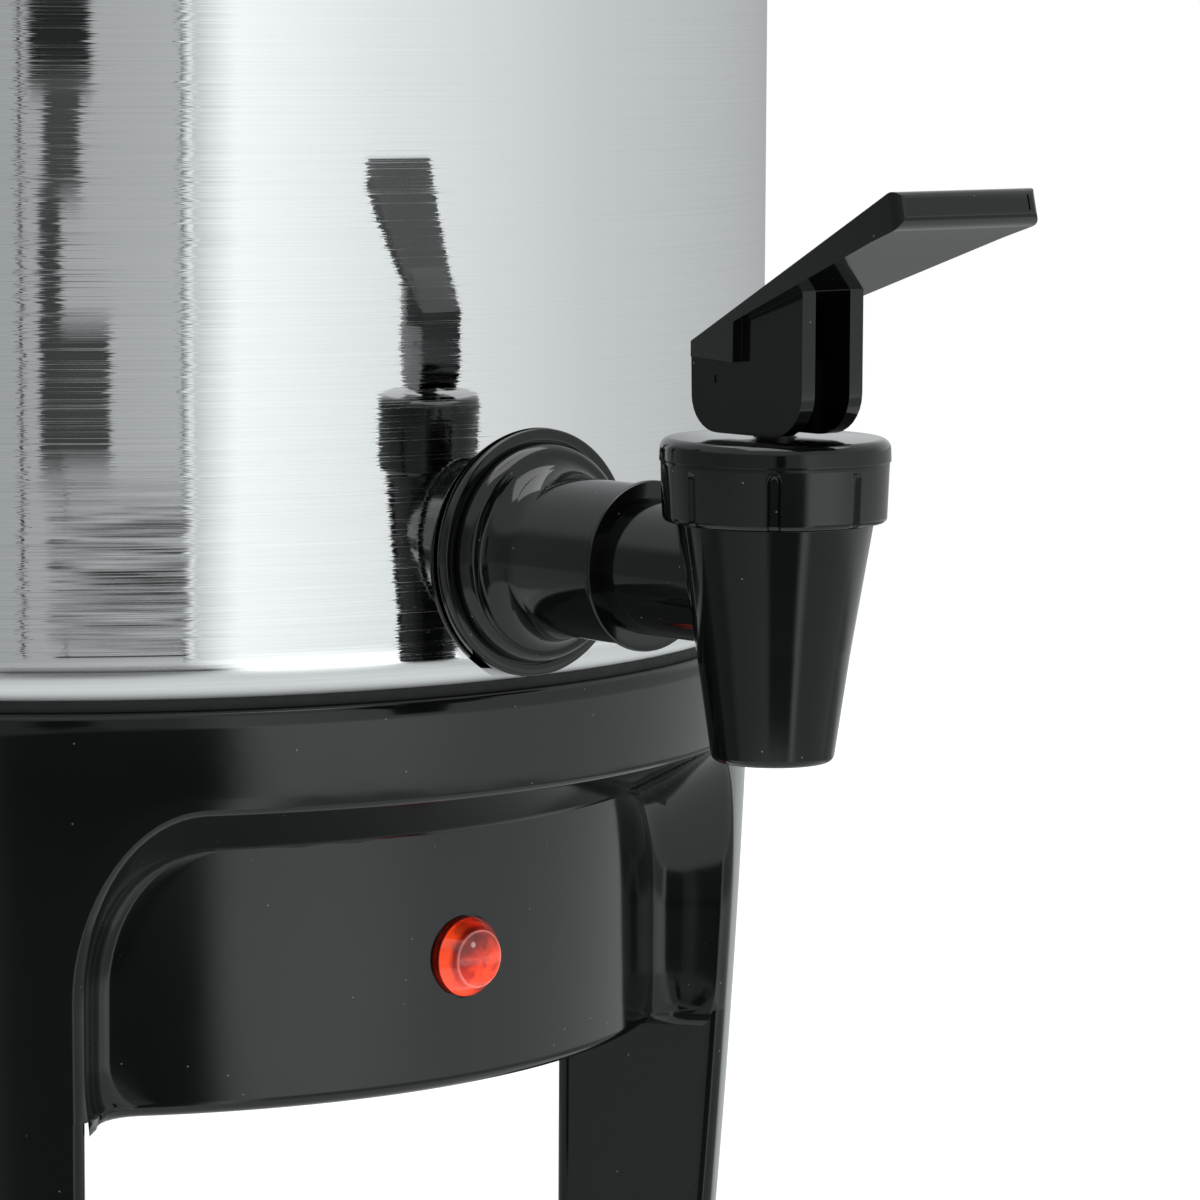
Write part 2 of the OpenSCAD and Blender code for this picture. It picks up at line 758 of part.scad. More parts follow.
// Insulated wires between the inlet, the terminal block, the lamp and the heaters.
module wiring() {
    zb = plate_z + plate_t + block_wire_z;
    y_in = inlet_seat + 2.5 - inlet_d - blade_tail - wire_gap;
    x_lead = light_face - lamp_back - lead_l - wire_gap;
    zf = base_h - fuse_drop;
    z_tab = base_h - well_depth + tab_z;
    x_tab = well_d / 2 + band_t + 3;
    z_th = base_h - thermo_h - thermo_tab - wire_gap;
    e = wire_end;
    y_b = block_at[1];
    y_back = y_b + block_w / 2 + wire_gap;
    y_front = y_b - block_w / 2 - wire_gap;
    x_l = block_at[0] - pole_pitch;
    x_m = block_at[0];
    x_r = block_at[0] + pole_pitch;
    y_f0 = fuse_at[1] - fuse_l / 2 - wire_gap;
    y_f1 = fuse_at[1] + fuse_l / 2 + wire_gap;
    color("firebrick") to_inlet() {
        wire([[7, y_in, inlet_z - 2], [7, y_in - e, inlet_z - 2], [11, y_in - 8, inlet_z - 4],
            [x_l - 1, y_back + 8, zb - 1], [x_l, y_back + e, zb], [x_l, y_back, zb]]);
        wire([[0, y_in, inlet_z + 3], [0, y_in - e, inlet_z + 3], [5, y_in - 6, inlet_z + 6],
            [20, y_in - 7, zb + 9], [x_m - 1, y_back + 10, zb + 4], [x_m, y_back + e, zb],
            [x_m, y_back, zb]]);
        wire([[x_m, y_front, zb], [x_m, y_front - e, zb], [x_m - 2, y_front - 7, zb + 6],
            [30, 8, shield_z - 8], [30, 0, shield_z + 2], [x_tab, 0, z_tab - 7],
            [x_tab, 0, z_tab - wire_gap - e], [x_tab, 0, z_tab - wire_gap]]);
    }
    color("white") to_inlet() {
        wire([[fuse_at[0], y_f0, zf], [fuse_at[0], y_f0 - e, zf], [-43, 8, zf - 2],
            [-39, 2, z_tab + tab_t + 4.5], [-x_tab, 0, z_tab + tab_t + wire_gap + e],
            [-x_tab, 0, z_tab + tab_t + wire_gap]]);
        wire([[-4, thermo_at[1], z_th], [-4, thermo_at[1], z_th - e], [-12, 40, z_th - 5],
            [-34, 38, base_h - 16], [fuse_at[0], 36, zf - 2], [fuse_at[0], y_f1 + e, zf],
            [fuse_at[0], y_f1, zf]]);
        wire([[x_lead, lead_x, light_z], [x_lead - e, lead_x, light_z],
            [x_lead - 12, 5, light_z - 4], [x_r + 2, 15, zb + 3], [x_r, y_front - e, zb],
            [x_r, y_front, zb]]);
        wire([[x_lead, -lead_x, light_z], [x_lead - e, -lead_x, light_z],
            [x_lead - 16, -10, light_z - 4], [24, -24, zb + 4], [-12, -20, zb + 4],
            [-28, 10, zb + 3], [-22, 46, zb + 2], [-11, y_in - 9, inlet_z - 4],
            [-7, y_in - e, inlet_z - 2], [-7, y_in, inlet_z - 2]]);
    }
}

// ---- pilot light ----

module facing_front() {
    translate([0, 0, light_z]) rotate([90, 0, 0]) children();
}

module pilot_lens() {
    r = lens_d / 2;
    curve = (r * r + lens_dome * lens_dome) / (2 * lens_dome);
    color("orangered") facing_front() translate([0, 0, light_face]) {
        cylinder(d = lens_flange_d, h = lens_rim + eps);
        translate([0, 0, lens_rim])
            cylinder(d1 = lens_flange_d, d2 = lens_d, h = lens_front - lens_rim);
        intersection() {
            translate([0, 0, lens_front + lens_dome - curve]) sphere(r = curve);
            translate([0, 0, lens_front - eps]) cylinder(r = r, h = 2);
        }
        translate([0, 0, -11]) difference() {
            cylinder(d = lens_barrel_d, h = 11 + eps);
            translate([0, 0, -cut]) cylinder(d = lens_barrel_d - 2.4, h = 10);
        }
    }
}

module pilot_lamp() {
    holder_l = 13;
    bulb_d = 5;
    bulb_l = 4;
    color("peachpuff") facing_front() translate([0, 0, light_face - lamp_back]) {
        cylinder(d = lens_barrel_d - 2.5, h = holder_l);
        translate([0, 0, holder_l - eps]) cylinder(d = bulb_d, h = bulb_l + eps);
        translate([0, 0, holder_l + bulb_l - eps]) sphere(d = bulb_d);
        for (s = [-1, 1]) translate([s * lead_x - 0.4, -1, -lead_l])
            cube([0.8, 2, lead_l + eps]);
    }
}

module pilot_clip() {
    color("silver") facing_front() translate([0, 0, shell_r - 1.6]) difference() {
        cylinder(d = lens_barrel_d + 6, h = 1);
        translate([0, 0, -cut]) cylinder(d = lens_barrel_d + 0.1, h = 1 + 2 * cut);
        for (a = [0:60:300]) rotate([0, 0, a]) translate([lens_barrel_d / 2, -0.6, -cut])
            cube([2, 1.2, 1 + 2 * cut]);
    }
}

// ---- tap ----

module escutcheon() {
    r = flange_d / 2;
    rr = ring_d / 2;
    rn = neck_d / 2;
    bore = thread_d / 2 + 0.2;
    x = flange_t;
    fillet = rr - rn - 1;
    color("black") along_tap() translate([0, 0, esc_back]) rotate_extrude() polygon(concat(
        [[bore, 0], [r, 0]],
        arc(r - 0.8, x - 0.8, 0.8, 0, 90, 4),
        [[rr + 0.6, x], [rr + 0.6, x - 0.4], [rr, x - 0.4]],
        arc(rr - 0.9, x + 1, 0.9, 0, 90, 4),
        arc(rn + fillet, x + 1.9 + fillet, fillet, 270, 180, 6),
        [[rn - 0.2, escutcheon_l - collar_t], [collar_d / 2, escutcheon_l - collar_t],
         [collar_d / 2, escutcheon_l], [bore, escutcheon_l]]
    ));
}

module outer_tap_gasket() {
    color("dimgray") tap_ring(flange_d / 2 - 1.5, thread_d / 2 + 0.3, seat_r0, esc_back);
}

module inner_tap_gasket() {
    r1 = seat_r0 - tank_wall;
    color("dimgray") tap_ring(15, thread_d / 2 + 0.3, r1 - inner_gasket_t, r1);
}

module lock_nut() {
    r1 = seat_r0 - tank_wall - inner_gasket_t;
    color("ivory") along_tap() translate([0, 0, r1 - nut_t]) difference() {
        cylinder(d = nut_af / cos(30), h = nut_t, $fn = 6);
        translate([0, 0, -cut]) cylinder(d = thread_d + 2 * thread_gap, h = nut_t + 2 * cut);
    }
}

module spout_body() {
    rt = spout_top_d / 2;
    re = spout_end_d / 2;
    shank_end = seat_r0 - tank_wall - inner_gasket_t - nut_t - 3;
    chamber_r = neck_r - 2.2;
    color("black") difference() {
        union() {
            at_spout() rotate_extrude() polygon(concat(
                [[0, cone_end]], arc(re - 1.2, cone_end + 1.2, 1.2, -90, 0, 5),
                [[rt, cone_top], [neck_r, cone_top], [neck_r, neck_top], [0, neck_top]]
            ));
            difference() {
                along_tap() {
                    translate([0, 0, esc_front]) cylinder(d = shank_d, h = spout_r0 - esc_front);
                    translate([0, 0, shank_end]) cylinder(d = thread_d, h = spout_r0 - shank_end);
                }
                // room for the bonnet's skirt
                at_spout() translate([0, 0, cone_top])
                    cylinder(d = bonnet_d + 2 * bonnet_gap, h = bonnet_h);
            }
        }
        at_spout() {
            translate([0, 0, seat_z]) cylinder(r1 = chamber_r - 2.6, r2 = chamber_r,
                h = cone_top - seat_z + eps);
            translate([0, 0, cone_top]) cylinder(r = chamber_r, h = neck_top - cone_top + cut);
            translate([0, 0, cone_end - cut]) cylinder(d = outlet_d,
                h = seat_z - seat_t - 2.5 - cone_end + cut);
            translate([0, 0, seat_z - seat_t - 2.5 - eps])
                cylinder(d1 = outlet_d, d2 = seat_bore, h = 2.5 + 2 * eps);
            translate([0, 0, seat_z - seat_t - eps]) cylinder(d = seat_bore, h = seat_t + cut);
        }
        along_tap() translate([0, 0, shank_end - cut]) cylinder(d = shank_bore,
            h = spout_r0 - shank_end);
    }
}

module bonnet() {
    rb = bonnet_d / 2;
    rl = rb - 0.5;
    seam = bonnet_top - 3.6;
    color("black") at_spout() difference() {
        rotate_extrude() polygon(concat(
            [[stem_d / 2 + fit, cone_top + 0.1], [rl, cone_top + 0.1], [rb, seam]],
            arc(rb - 1.2, bonnet_top - 1.2, 1.2, 0, 90, 5),
            [[stem_d / 2 + fit, bonnet_top]]
        ));
        translate([0, 0, cone_top]) cylinder(r = neck_r + 0.1, h = bonnet_h - bonnet_wall);
        // grip slots
        for (a = [0:45:315]) rotate([0, 0, a]) translate([0, -rb, cone_top - cut])
            cylinder(d = 1.6, h = seam - 1 - cone_top + cut);
    }
}

module bonnet_seal() {
    color("dimgray") at_spout() ring(neck_r, stem_d / 2 + 5, neck_top, seal_t);
}

module tap_stem() {
    color("black") at_spout() difference() {
        union() {
            translate([0, 0, seat_z + 5]) cylinder(d = stem_d, h = pin_z + 4 - seat_z - 5);
            translate([0, 0, seat_z + 4]) cylinder(d = 9.6, h = 2);
        }
        translate([0, 0, pin_z]) rotate([0, 90, 0]) translate([0, 0, -10])
            cylinder(d = pin_d + 2 * fit, h = 20);
    }
}

// Silicone cup on the stem's end. It closes the seat.
module seat_cup() {
    r = cup_d / 2;
    z0 = seat_z + cup_lift_gap;
    color("gainsboro") at_spout() difference() {
        translate([0, 0, z0]) rotate_extrude() polygon(concat(
            [[0, 0]], arc(r - 2, 2, 2, -90, 0, 5), [[r - 0.6, cup_h], [0, cup_h]]
        ));
        translate([0, 0, seat_z + 4]) cylinder(d = 9.6, h = 2);
        translate([0, 0, seat_z + 5]) cylinder(d = stem_d, h = 20);
    }
}

module tap_spring() {
    w = spring_wire / 2;
    z0 = spring_z0 + w;
    h = spring_z1 - spring_z0 - 2 * w;
    n = spring_turns * 14;
    color("silver") at_spout() tube([for (i = [0:n]) let (a = 360 * spring_turns * i / n,
        // closed end coils and open ones between
        t = i / n, z = t < 0.16 ? t * 0.5 : t > 0.84 ? 1 - (1 - t) * 0.5 : 0.08 + (t - 0.16) * 0.84 / 0.68)
        [spring_r * cos(a), spring_r * sin(a), z0 + h * z]], w, 8);
}

// ---- lever ----

// Height of the paddle's underside at a place along the lever.
function under_z(x) = let (
        z0 = root_z - paddle_root_t,
        z1 = tip_z - paddle_tip_t
    ) z0 + (z1 - z0) * (x - paddle_back) / (paddle_reach + paddle_lean - paddle_back);

module cheek_outline() {
    r = cheek_r;
    b = cheek_back;
    f = cheek_front;
    polygon(concat(
        arc(b + r, yoke_z + r, r, 180, 270, 8),
        arc(f - r, yoke_z + r, r, 270, 360, 8),
        [[f, under_z(f) + 0.5], [b, under_z(b) + 0.5]]
    ));
}

module lever() {
    color("black") difference() {
        union() {
            side_view(yoke_w) cheek_outline();
            // flared paddle
            intersection() {
                side_view(paddle_w + 10) polygon([
                    [paddle_back, root_z - paddle_root_t],
                    [paddle_reach + paddle_lean, tip_z - paddle_tip_t],
                    [paddle_reach, tip_z], [paddle_back, root_z]
                ]);
                at_spout() translate([0, 0, yoke_z]) linear_extrude(height = 100) polygon([
                    [-yoke_w / 2, -paddle_back], [-paddle_w / 2, -paddle_reach],
                    [-paddle_w / 2, -paddle_reach - cheek_l], [paddle_w / 2, -paddle_reach - cheek_l],
                    [paddle_w / 2, -paddle_reach], [yoke_w / 2, -paddle_back]
                ]);
            }
        }
        // slot for the stem, open at the front and below
        side_view(slot_w) polygon([
            [cheek_back + web_t, yoke_z - 1], [cheek_front + 20, yoke_z - 1],
            [cheek_front + 20, under_z(cheek_front + 20)],
            [cheek_back + web_t, under_z(cheek_back + web_t)]
        ]);
        at_spout() translate([0, 0, pin_z]) rotate([0, 90, 0])
            translate([0, 0, -slot_w / 2 - pin_blind]) cylinder(d = pin_d, h = slot_w + 2 * pin_blind);
    }
}

module lever_pin() {
    color("silver") at_spout() translate([0, 0, pin_z]) rotate([0, 90, 0])
        translate([0, 0, -slot_w / 2 - pin_blind]) cylinder(d = pin_d, h = slot_w + 2 * pin_blind);
}

// ---- side handles ----

// Plan of the handle on +X: two posts and a bowed grip round a finger gap.
module handle_plan() {
    y1 = handle_l / 2 + post_d / 2;
    x0 = post_x + handle_gap;
    x1 = tank_r + handle_reach;
    r = 20;
    ri = 9;
    polygon(concat(
        [[x0, -y1]], arc(x1 - r, -y1 + r, r, -90, 0), arc(x1 - r, y1 - r, r, 0, 90), [[x0, y1]],
        [[x0, y1 - post_d]], arc(x1 - grip_t - ri, y1 - post_d - ri, ri, 90, 0),
        arc(x1 - grip_t - ri, -y1 + post_d + ri, ri, 0, -90), [[x0, -y1 + post_d]]
    ));
}

module handle() {
    difference() {
        translate([0, 0, handle_z - grip_h / 2]) linear_extrude(height = grip_h) handle_plan();
        for (t = [-1, 1]) translate([post_x - cut, t * handle_l / 2, handle_z])
            rotate([0, 90, 0]) cylinder(d = 4, h = 16 + cut);
    }
}

module left_handle() {
    color("black") mirror([1, 0, 0]) handle();
}

module right_handle() {
    color("black") handle();
}

// Steel saddles between the tank's wall and the handles' posts.
module handle_brackets() {
    inner = tank_r * 0.85;
    color("silver") for (s = [-1, 1], t = [-1, 1]) difference() {
        translate([s > 0 ? inner : -post_x, t * handle_l / 2 - bracket_w / 2,
            handle_z - bracket_h / 2]) cube([post_x - inner, bracket_w, bracket_h]);
        translate([0, 0, handle_z - bracket_h]) cylinder(r = tank_r + 0.02, h = 2 * bracket_h);
        translate([0, t * handle_l / 2, handle_z]) rotate([0, s * 90, 0])
            cylinder(d = 4.4, h = post_x + handle_screw_in);
    }
}

module handle_screws() {
    color("silver") for (s = [-1, 1], t = [-1, 1]) translate([0, t * handle_l / 2, handle_z])
        rotate([0, s * 90, 0]) {
            translate([0, 0, screw_x - handle_head_h])
                cylinder(d = handle_head_d, h = handle_head_h);
            translate([0, 0, screw_x - eps])
                cylinder(d = 3.9, h = post_x + handle_screw_in - screw_x);
        }
}

// ---- lid ----

module lid() {
    r = tank_r + 2 * rim_bead_r - tank_wall + 1.5;
    rs = skirt_r;
    t = lid_t;
    dome_r = rs - 12;
    color("lightgrey") difference() {
        translate([0, 0, lid_z + lid_gap]) rotate_extrude() polygon(concat(
            [[0, dome_h - t]],
            [for (i = [1:9]) let (u = i / 10) [dome_r * u, (dome_h - t) * (1 - u * u)]],
            [[dome_r, 0], [rs - t, 0], [rs - t, -skirt_h - 2 * rim_bead_r],
             [rs, -skirt_h - 2 * rim_bead_r], [rs, 0], [r, 0], [r, t], [dome_r, t]],
            [for (i = [9:-1:1]) let (u = i / 10) [dome_r * u, t + (dome_h - t) * (1 - u * u)]],
            [[0, dome_h]]
        ));
        translate([0, 0, lid_z]) cylinder(d = knob_bore + 0.4, h = dome_h + 10);
    }
}

module lid_knob() {
    r = knob_d / 2;
    h = knob_h;
    s = knob_stem_h;
    color("black") translate([0, 0, knob_z]) difference() {
        rotate_extrude() polygon(concat(
            [[0, 0], [13, 0], [13, 2], [9, 4], [9, s]],
            arc(r - 4, s + 4, 4, -60, 0, 5),
            arc(r - 9, h - 9, 9, 0, 70, 7),
            [[0, h]]
        ));
        translate([0, 0, -cut]) cylinder(d = knob_bore, h = 15 + cut);
    }
}

module knob_washer() {
    color("silver") ring(8, knob_bore / 2 + 0.2, washer_z, washer_t);
}

module knob_screw() {
    head_h = 2.6;
    color("silver") translate([0, 0, washer_z]) {
        translate([0, 0, -head_h]) cylinder(d = 8, h = head_h);
        translate([0, 0, -eps]) cylinder(d = knob_bore - 0.1, h = 15);
    }
}

// ---- percolator ----

module pump_tube() {
    r = pump_foot_d / 2;
    color("silver") translate([0, 0, foot_z]) difference() {
        rotate_extrude() polygon([
            [9, 0], [r, 0], [r, 1], [tube_r, pump_foot_h], [tube_r, tube_end - foot_z],
            [tube_bore, tube_end - foot_z], [tube_bore, pump_foot_h], [tube_bore, pump_foot_h - 1.5],
            [r - 2, 1], [9, 1]
        ]);
        // water ports round the flared foot
        for (a = [0:60:300]) rotate([0, 0, a]) translate([r - 6, 0, 1.2])
            cylinder(d = 4, h = 10);
    }
    // stop that carries the basket
    color("silver") ring(tube_r + 3, tube_r - eps, basket_z - stop_t - 0.3, stop_t);
}

module pump_valve() {
    color("silver") ring(12, 2, foot_z + 1.3, 0.8);
}

module coffee_basket() {
    r = basket_d / 2;
    t = basket_t;
    color("silver") translate([0, 0, basket_z]) difference() {
        rotate_extrude() polygon([
            [sleeve_r, 0], [r, 0], [r, basket_h - t], [r + 2, basket_h - t], [r + 2, basket_h],
            [r - t, basket_h], [r - t, t], [sleeve_r + t, t], [sleeve_r + t, basket_h - 8],
            [sleeve_r, basket_h - 8]
        ]);
        for (k = [0:3], i = [0:11 + 6 * k]) rotate([0, 0, 360 * i / (12 + 6 * k)])
            translate([perf_r0 + k * perf_step, 0, -cut]) cylinder(d = 2, h = t + 2 * cut);
    }
}

module basket_cover() {
    r = basket_d / 2 - 1.5;
    color("silver") translate([0, 0, cover_z]) difference() {
        rotate_extrude() polygon([
            [sleeve_r, 0], [r + 3, 0], [r + 3, 0.8], [sleeve_r + 1, 0.8], [sleeve_r + 1, 9],
            [sleeve_r, 9]
        ]);
        for (k = [0:2], i = [0:11 + 6 * k]) rotate([0, 0, 360 * i / (12 + 6 * k)])
            translate([20 + k * 13, 0, -cut]) cylinder(d = 3, h = 3);
    }
}

tank();
heater_well();
seam_gasket();
base();
rubber_feet();
bottom_plate();
plate_screws();
centre_stud();
centre_nut();
heat_shield();
band_heater();
warming_element();
thermostat();
thermal_fuse();
terminal_block();
power_inlet();
inlet_screws();
wiring();
pilot_lens();
pilot_lamp();
pilot_clip();
escutcheon();
outer_tap_gasket();
inner_tap_gasket();
lock_nut();
spout_body();
bonnet();
bonnet_seal();
tap_stem();
seat_cup();
tap_spring();
lever();
lever_pin();
left_handle();
right_handle();
handle_brackets();
handle_screws();
lid();
lid_knob();
knob_washer();
knob_screw();
pump_tube();
pump_valve();
coffee_basket();
basket_cover();
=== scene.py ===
import json
from math import atan2, cos, degrees, pi, radians, sin, sqrt, tan

import bpy
from mathutils import Matrix, Vector


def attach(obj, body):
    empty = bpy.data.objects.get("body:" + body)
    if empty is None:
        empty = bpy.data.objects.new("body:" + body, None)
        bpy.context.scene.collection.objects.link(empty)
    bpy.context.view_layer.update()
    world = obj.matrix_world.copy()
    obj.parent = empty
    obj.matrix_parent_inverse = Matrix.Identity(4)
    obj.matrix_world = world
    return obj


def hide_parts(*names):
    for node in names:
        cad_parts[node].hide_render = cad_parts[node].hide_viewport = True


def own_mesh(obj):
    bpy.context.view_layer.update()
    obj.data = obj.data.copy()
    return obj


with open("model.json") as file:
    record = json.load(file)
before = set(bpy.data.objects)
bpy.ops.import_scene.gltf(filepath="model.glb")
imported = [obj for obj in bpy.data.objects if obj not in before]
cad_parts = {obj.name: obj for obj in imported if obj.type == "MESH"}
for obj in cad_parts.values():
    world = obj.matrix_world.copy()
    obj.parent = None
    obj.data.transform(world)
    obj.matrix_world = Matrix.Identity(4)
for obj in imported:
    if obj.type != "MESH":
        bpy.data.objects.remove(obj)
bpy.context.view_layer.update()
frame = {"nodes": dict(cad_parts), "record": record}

# Sizes of the urn, in millimetres and degrees. Heights are above the table.
MM = 0.001
JOINT_Z = 125.0             # where the tank meets the base

# tank and lid
TANK_R = 122.2
TANK_TOP = 330.0
SHEET = 1.0                 # thickness of the tank's and the lid's sheet
WELL_R = 27.0               # hole in the tank's bottom, round the heater well
LID_LOW = 335.1             # underside of the lid's flat rim
KNOB_LOW = 355.1
HANDLE_LOW = 265.0
HANDLE_H = 20.0

# tap
TAP_Z = 145.6               # axis of the shank
TAP_OUT = 176.5             # axis of the spout, from the tank's axis
SEAT_OUT = 120.4            # the tank's wall is pressed flat here for the tap
CONE_TOP = 154.9
BONNET_R = 17.65
LEVER_HALF = 6.5            # half the width of the lever's cheeks
PADDLE_HALF = 15.2          # half the width of the paddle's tip
DIMPLE = (170.4, 176.5)     # small mark on the lever's cheeks, forward and up

# base. These heights are from the joint down.
SEAM_Z = -1.8
RIM_Z = -3.0                # where the rounded rim passes into the skin
ARCH_Z = -18.3              # upper line of a recess, on the skin
LEDGE_Z = -26.4             # lower line of its ledge, on the panel
PANEL_LOW = -67.5
SOLE_Z = -122.0
SKIN_R = (120.3, 113.5)     # at the seam and at the sole
PANEL_R = 105.1
INNER_R = 102.1             # inside of the panel
TOP_DEPTH = 13.0            # depth and drop of the ledge's section before it is scaled
TOP_DROP = 8.1
LEG_DEPTH = 12.4            # the same for the hollow sweep beside a leg
LEG_SWEEP = 3.0
LEG_R = 118.0               # millimetres sideways become degrees at this radius
LEG_HALF = 8.4              # from a leg's middle to its side
CORNER = 9.2                # from a leg's side to where the recess's corner starts
CORNER_STEPS = 16
LIGHT_Z = 77.4              # the pilot light and the inlet are above the table again
INLET_Z = 74.5

scene = bpy.context.scene
ops = bpy.ops


# ---- working with the mesh tools ----

def let_go():
    """Leaves edit mode with nothing selected."""
    if bpy.context.object and bpy.context.object.mode != "OBJECT":
        ops.object.mode_set(mode="OBJECT")
    ops.object.select_all(action="DESELECT")


def take(piece):
    """Selects one piece alone."""
    let_go()
    piece.select_set(True)
    bpy.context.view_layer.objects.active = piece


def start_point(name):
    """A new piece that is one selected vertex at the origin, in edit mode."""
    let_go()
    ops.mesh.primitive_plane_add(size=0.01, location=(0, 0, 0))
    piece = bpy.context.object
    piece.name = piece.data.name = name
    ops.object.mode_set(mode="EDIT")
    ops.mesh.select_all(action="SELECT")
    ops.mesh.merge(type="CENTER")
    return piece


def draw_line(points):
    """Pulls the selected vertex along a list of places, in metres."""
    ops.transform.translate(value=points[0])
    for a, b in zip(points, points[1:]):
        step = [q - p for p, q in zip(a, b)]
        ops.mesh.extrude_region_move(TRANSFORM_OT_translate={"value": step})


def rounded(corners, fineness=5):
    """A line of (x, y) places. A third number rounds that corner."""
    line = []
    n = len(corners)
    for i, c in enumerate(corners):
        r = c[2] if len(c) > 2 else 0
        if not r or i in (0, n - 1):
            line.append((c[0], c[1]))
            continue
        here = Vector(c[:2])
        back = (Vector(corners[i - 1][:2]) - here).normalized()
        on = (Vector(corners[i + 1][:2]) - here).normalized()
        half = back.angle(on) / 2
        leg = r / tan(half)
        middle = here + (back + on).normalized() * (r / sin(half))
        p0, p1 = here + back * leg - middle, here + on * leg - middle
        turn = p0.angle_signed(p1)
        for k in range(fineness + 1):
            spin = Matrix.Rotation(-turn * k / fineness, 2)
            q = middle + spin @ p0
            line.append((q.x, q.y))
    return line


def tidy(piece, angle=40, merge=1e-6):
    """Joins the seams, turns the faces outwards and shades the piece."""
    take(piece)
    ops.object.mode_set(mode="EDIT")
    ops.mesh.select_all(action="SELECT")
    ops.mesh.remove_doubles(threshold=merge)
    ops.mesh.normals_make_consistent(inside=False)
    ops.object.mode_set(mode="OBJECT")
    ops.object.shade_smooth_by_angle(angle=radians(angle))
    return piece


def turned(name, outline, steps=180, at=(0, 0), angle=40):
    """A piece turned on an upright lathe. The outline is (radius, height)."""
    piece = start_point(name)
    draw_line([((at[0] + r) * MM, at[1] * MM, z * MM) for r, z in outline])
    ops.mesh.select_all(action="SELECT")
    ops.mesh.spin(steps=steps, angle=2 * pi, axis=(0, 0, 1),
                  center=(at[0] * MM, at[1] * MM, 0))
    return tidy(piece, angle)


def turned_forward(name, outline, height, steps=120, angle=40):
    """A piece turned on an axis that runs forward, out of the tank's axis.
    The outline is (distance from the tank's axis, radius)."""
    piece = start_point(name)
    draw_line([(0, -out * MM, (height + r) * MM) for out, r in outline])
    ops.mesh.select_all(action="SELECT")
    ops.mesh.spin(steps=steps, angle=2 * pi, axis=(0, 1, 0), center=(0, 0, height * MM))
    return tidy(piece, angle)


def slab(name, outline, x0, x1):
    """A plate with a side outline of (forward, height), from x0 to x1."""
    piece = start_point(name)
    draw_line([(x0 * MM, -out * MM, z * MM) for out, z in outline])
    ops.mesh.select_all(action="SELECT")
    ops.mesh.edge_face_add()
    ops.mesh.extrude_region_move(TRANSFORM_OT_translate={"value": ((x1 - x0) * MM, 0, 0)})
    return tidy(piece)


def join(name, pieces):
    """Makes several pieces one, under a new name."""
    let_go()
    for p in pieces:
        p.select_set(True)
    bpy.context.view_layer.objects.active = pieces[0]
    ops.object.join()
    piece = bpy.context.object
    piece.name = piece.data.name = name
    return piece


def apply(piece, kind, **settings):
    """Adds a modifier with its settings and applies it."""
    take(piece)
    change = piece.modifiers.new(kind.title(), kind)
    for key, value in settings.items():
        setattr(change, key, value)
    ops.object.modifier_apply(modifier=change.name)


def weld(piece, other):
    """Adds another solid to the piece."""
    apply(piece, "BOOLEAN", operation="UNION", solver="EXACT", object=other)
    bpy.data.objects.remove(other)
    return piece


def carve(piece, other):
    """Cuts another solid out of the piece."""
    apply(piece, "BOOLEAN", operation="DIFFERENCE", solver="EXACT", object=other)
    bpy.data.objects.remove(other)
    return piece


def soften(piece, width, segments, angle):
    """Rounds the edges that are sharper than an angle."""
    apply(piece, "BEVEL", width=width * MM, segments=segments, limit_method="ANGLE",
          angle_limit=radians(angle))
    ops.object.shade_smooth_by_angle(angle=radians(40))


def surface(name, points, faces):
    """A piece from places in millimetres and the faces between them."""
    let_go()
    mesh = bpy.data.meshes.new(name)
    mesh.from_pydata([[c * MM for c in p] for p in points], [], faces)
    piece = bpy.data.objects.new(name, mesh)
    scene.collection.objects.link(piece)
    return piece


# ---- finishes ----

class Nodes:
    """Short words for adding nodes to a tree."""

    def node(self, kind, inputs=None, **settings):
        n = self.tree.nodes.new(kind)
        for key, value in settings.items():
            setattr(n, key, value)
        for key, value in (inputs or {}).items():
            if isinstance(value, bpy.types.NodeSocket):
                self.tree.links.new(value, n.inputs[key])
            else:
                n.inputs[key].default_value = value
        return n

    def band(self, value, low, high, to_low, to_high, **settings):
        """Spreads low..high of a value over to_low..to_high."""
        return self.node("ShaderNodeMapRange", {0: value, 1: low, 2: high, 3: to_low, 4: to_high},
                         **settings).outputs[0]

    def sums(self, operation, a, b=0.0):
        return self.node("ShaderNodeMath", {0: a, 1: b}, operation=operation).outputs[0]


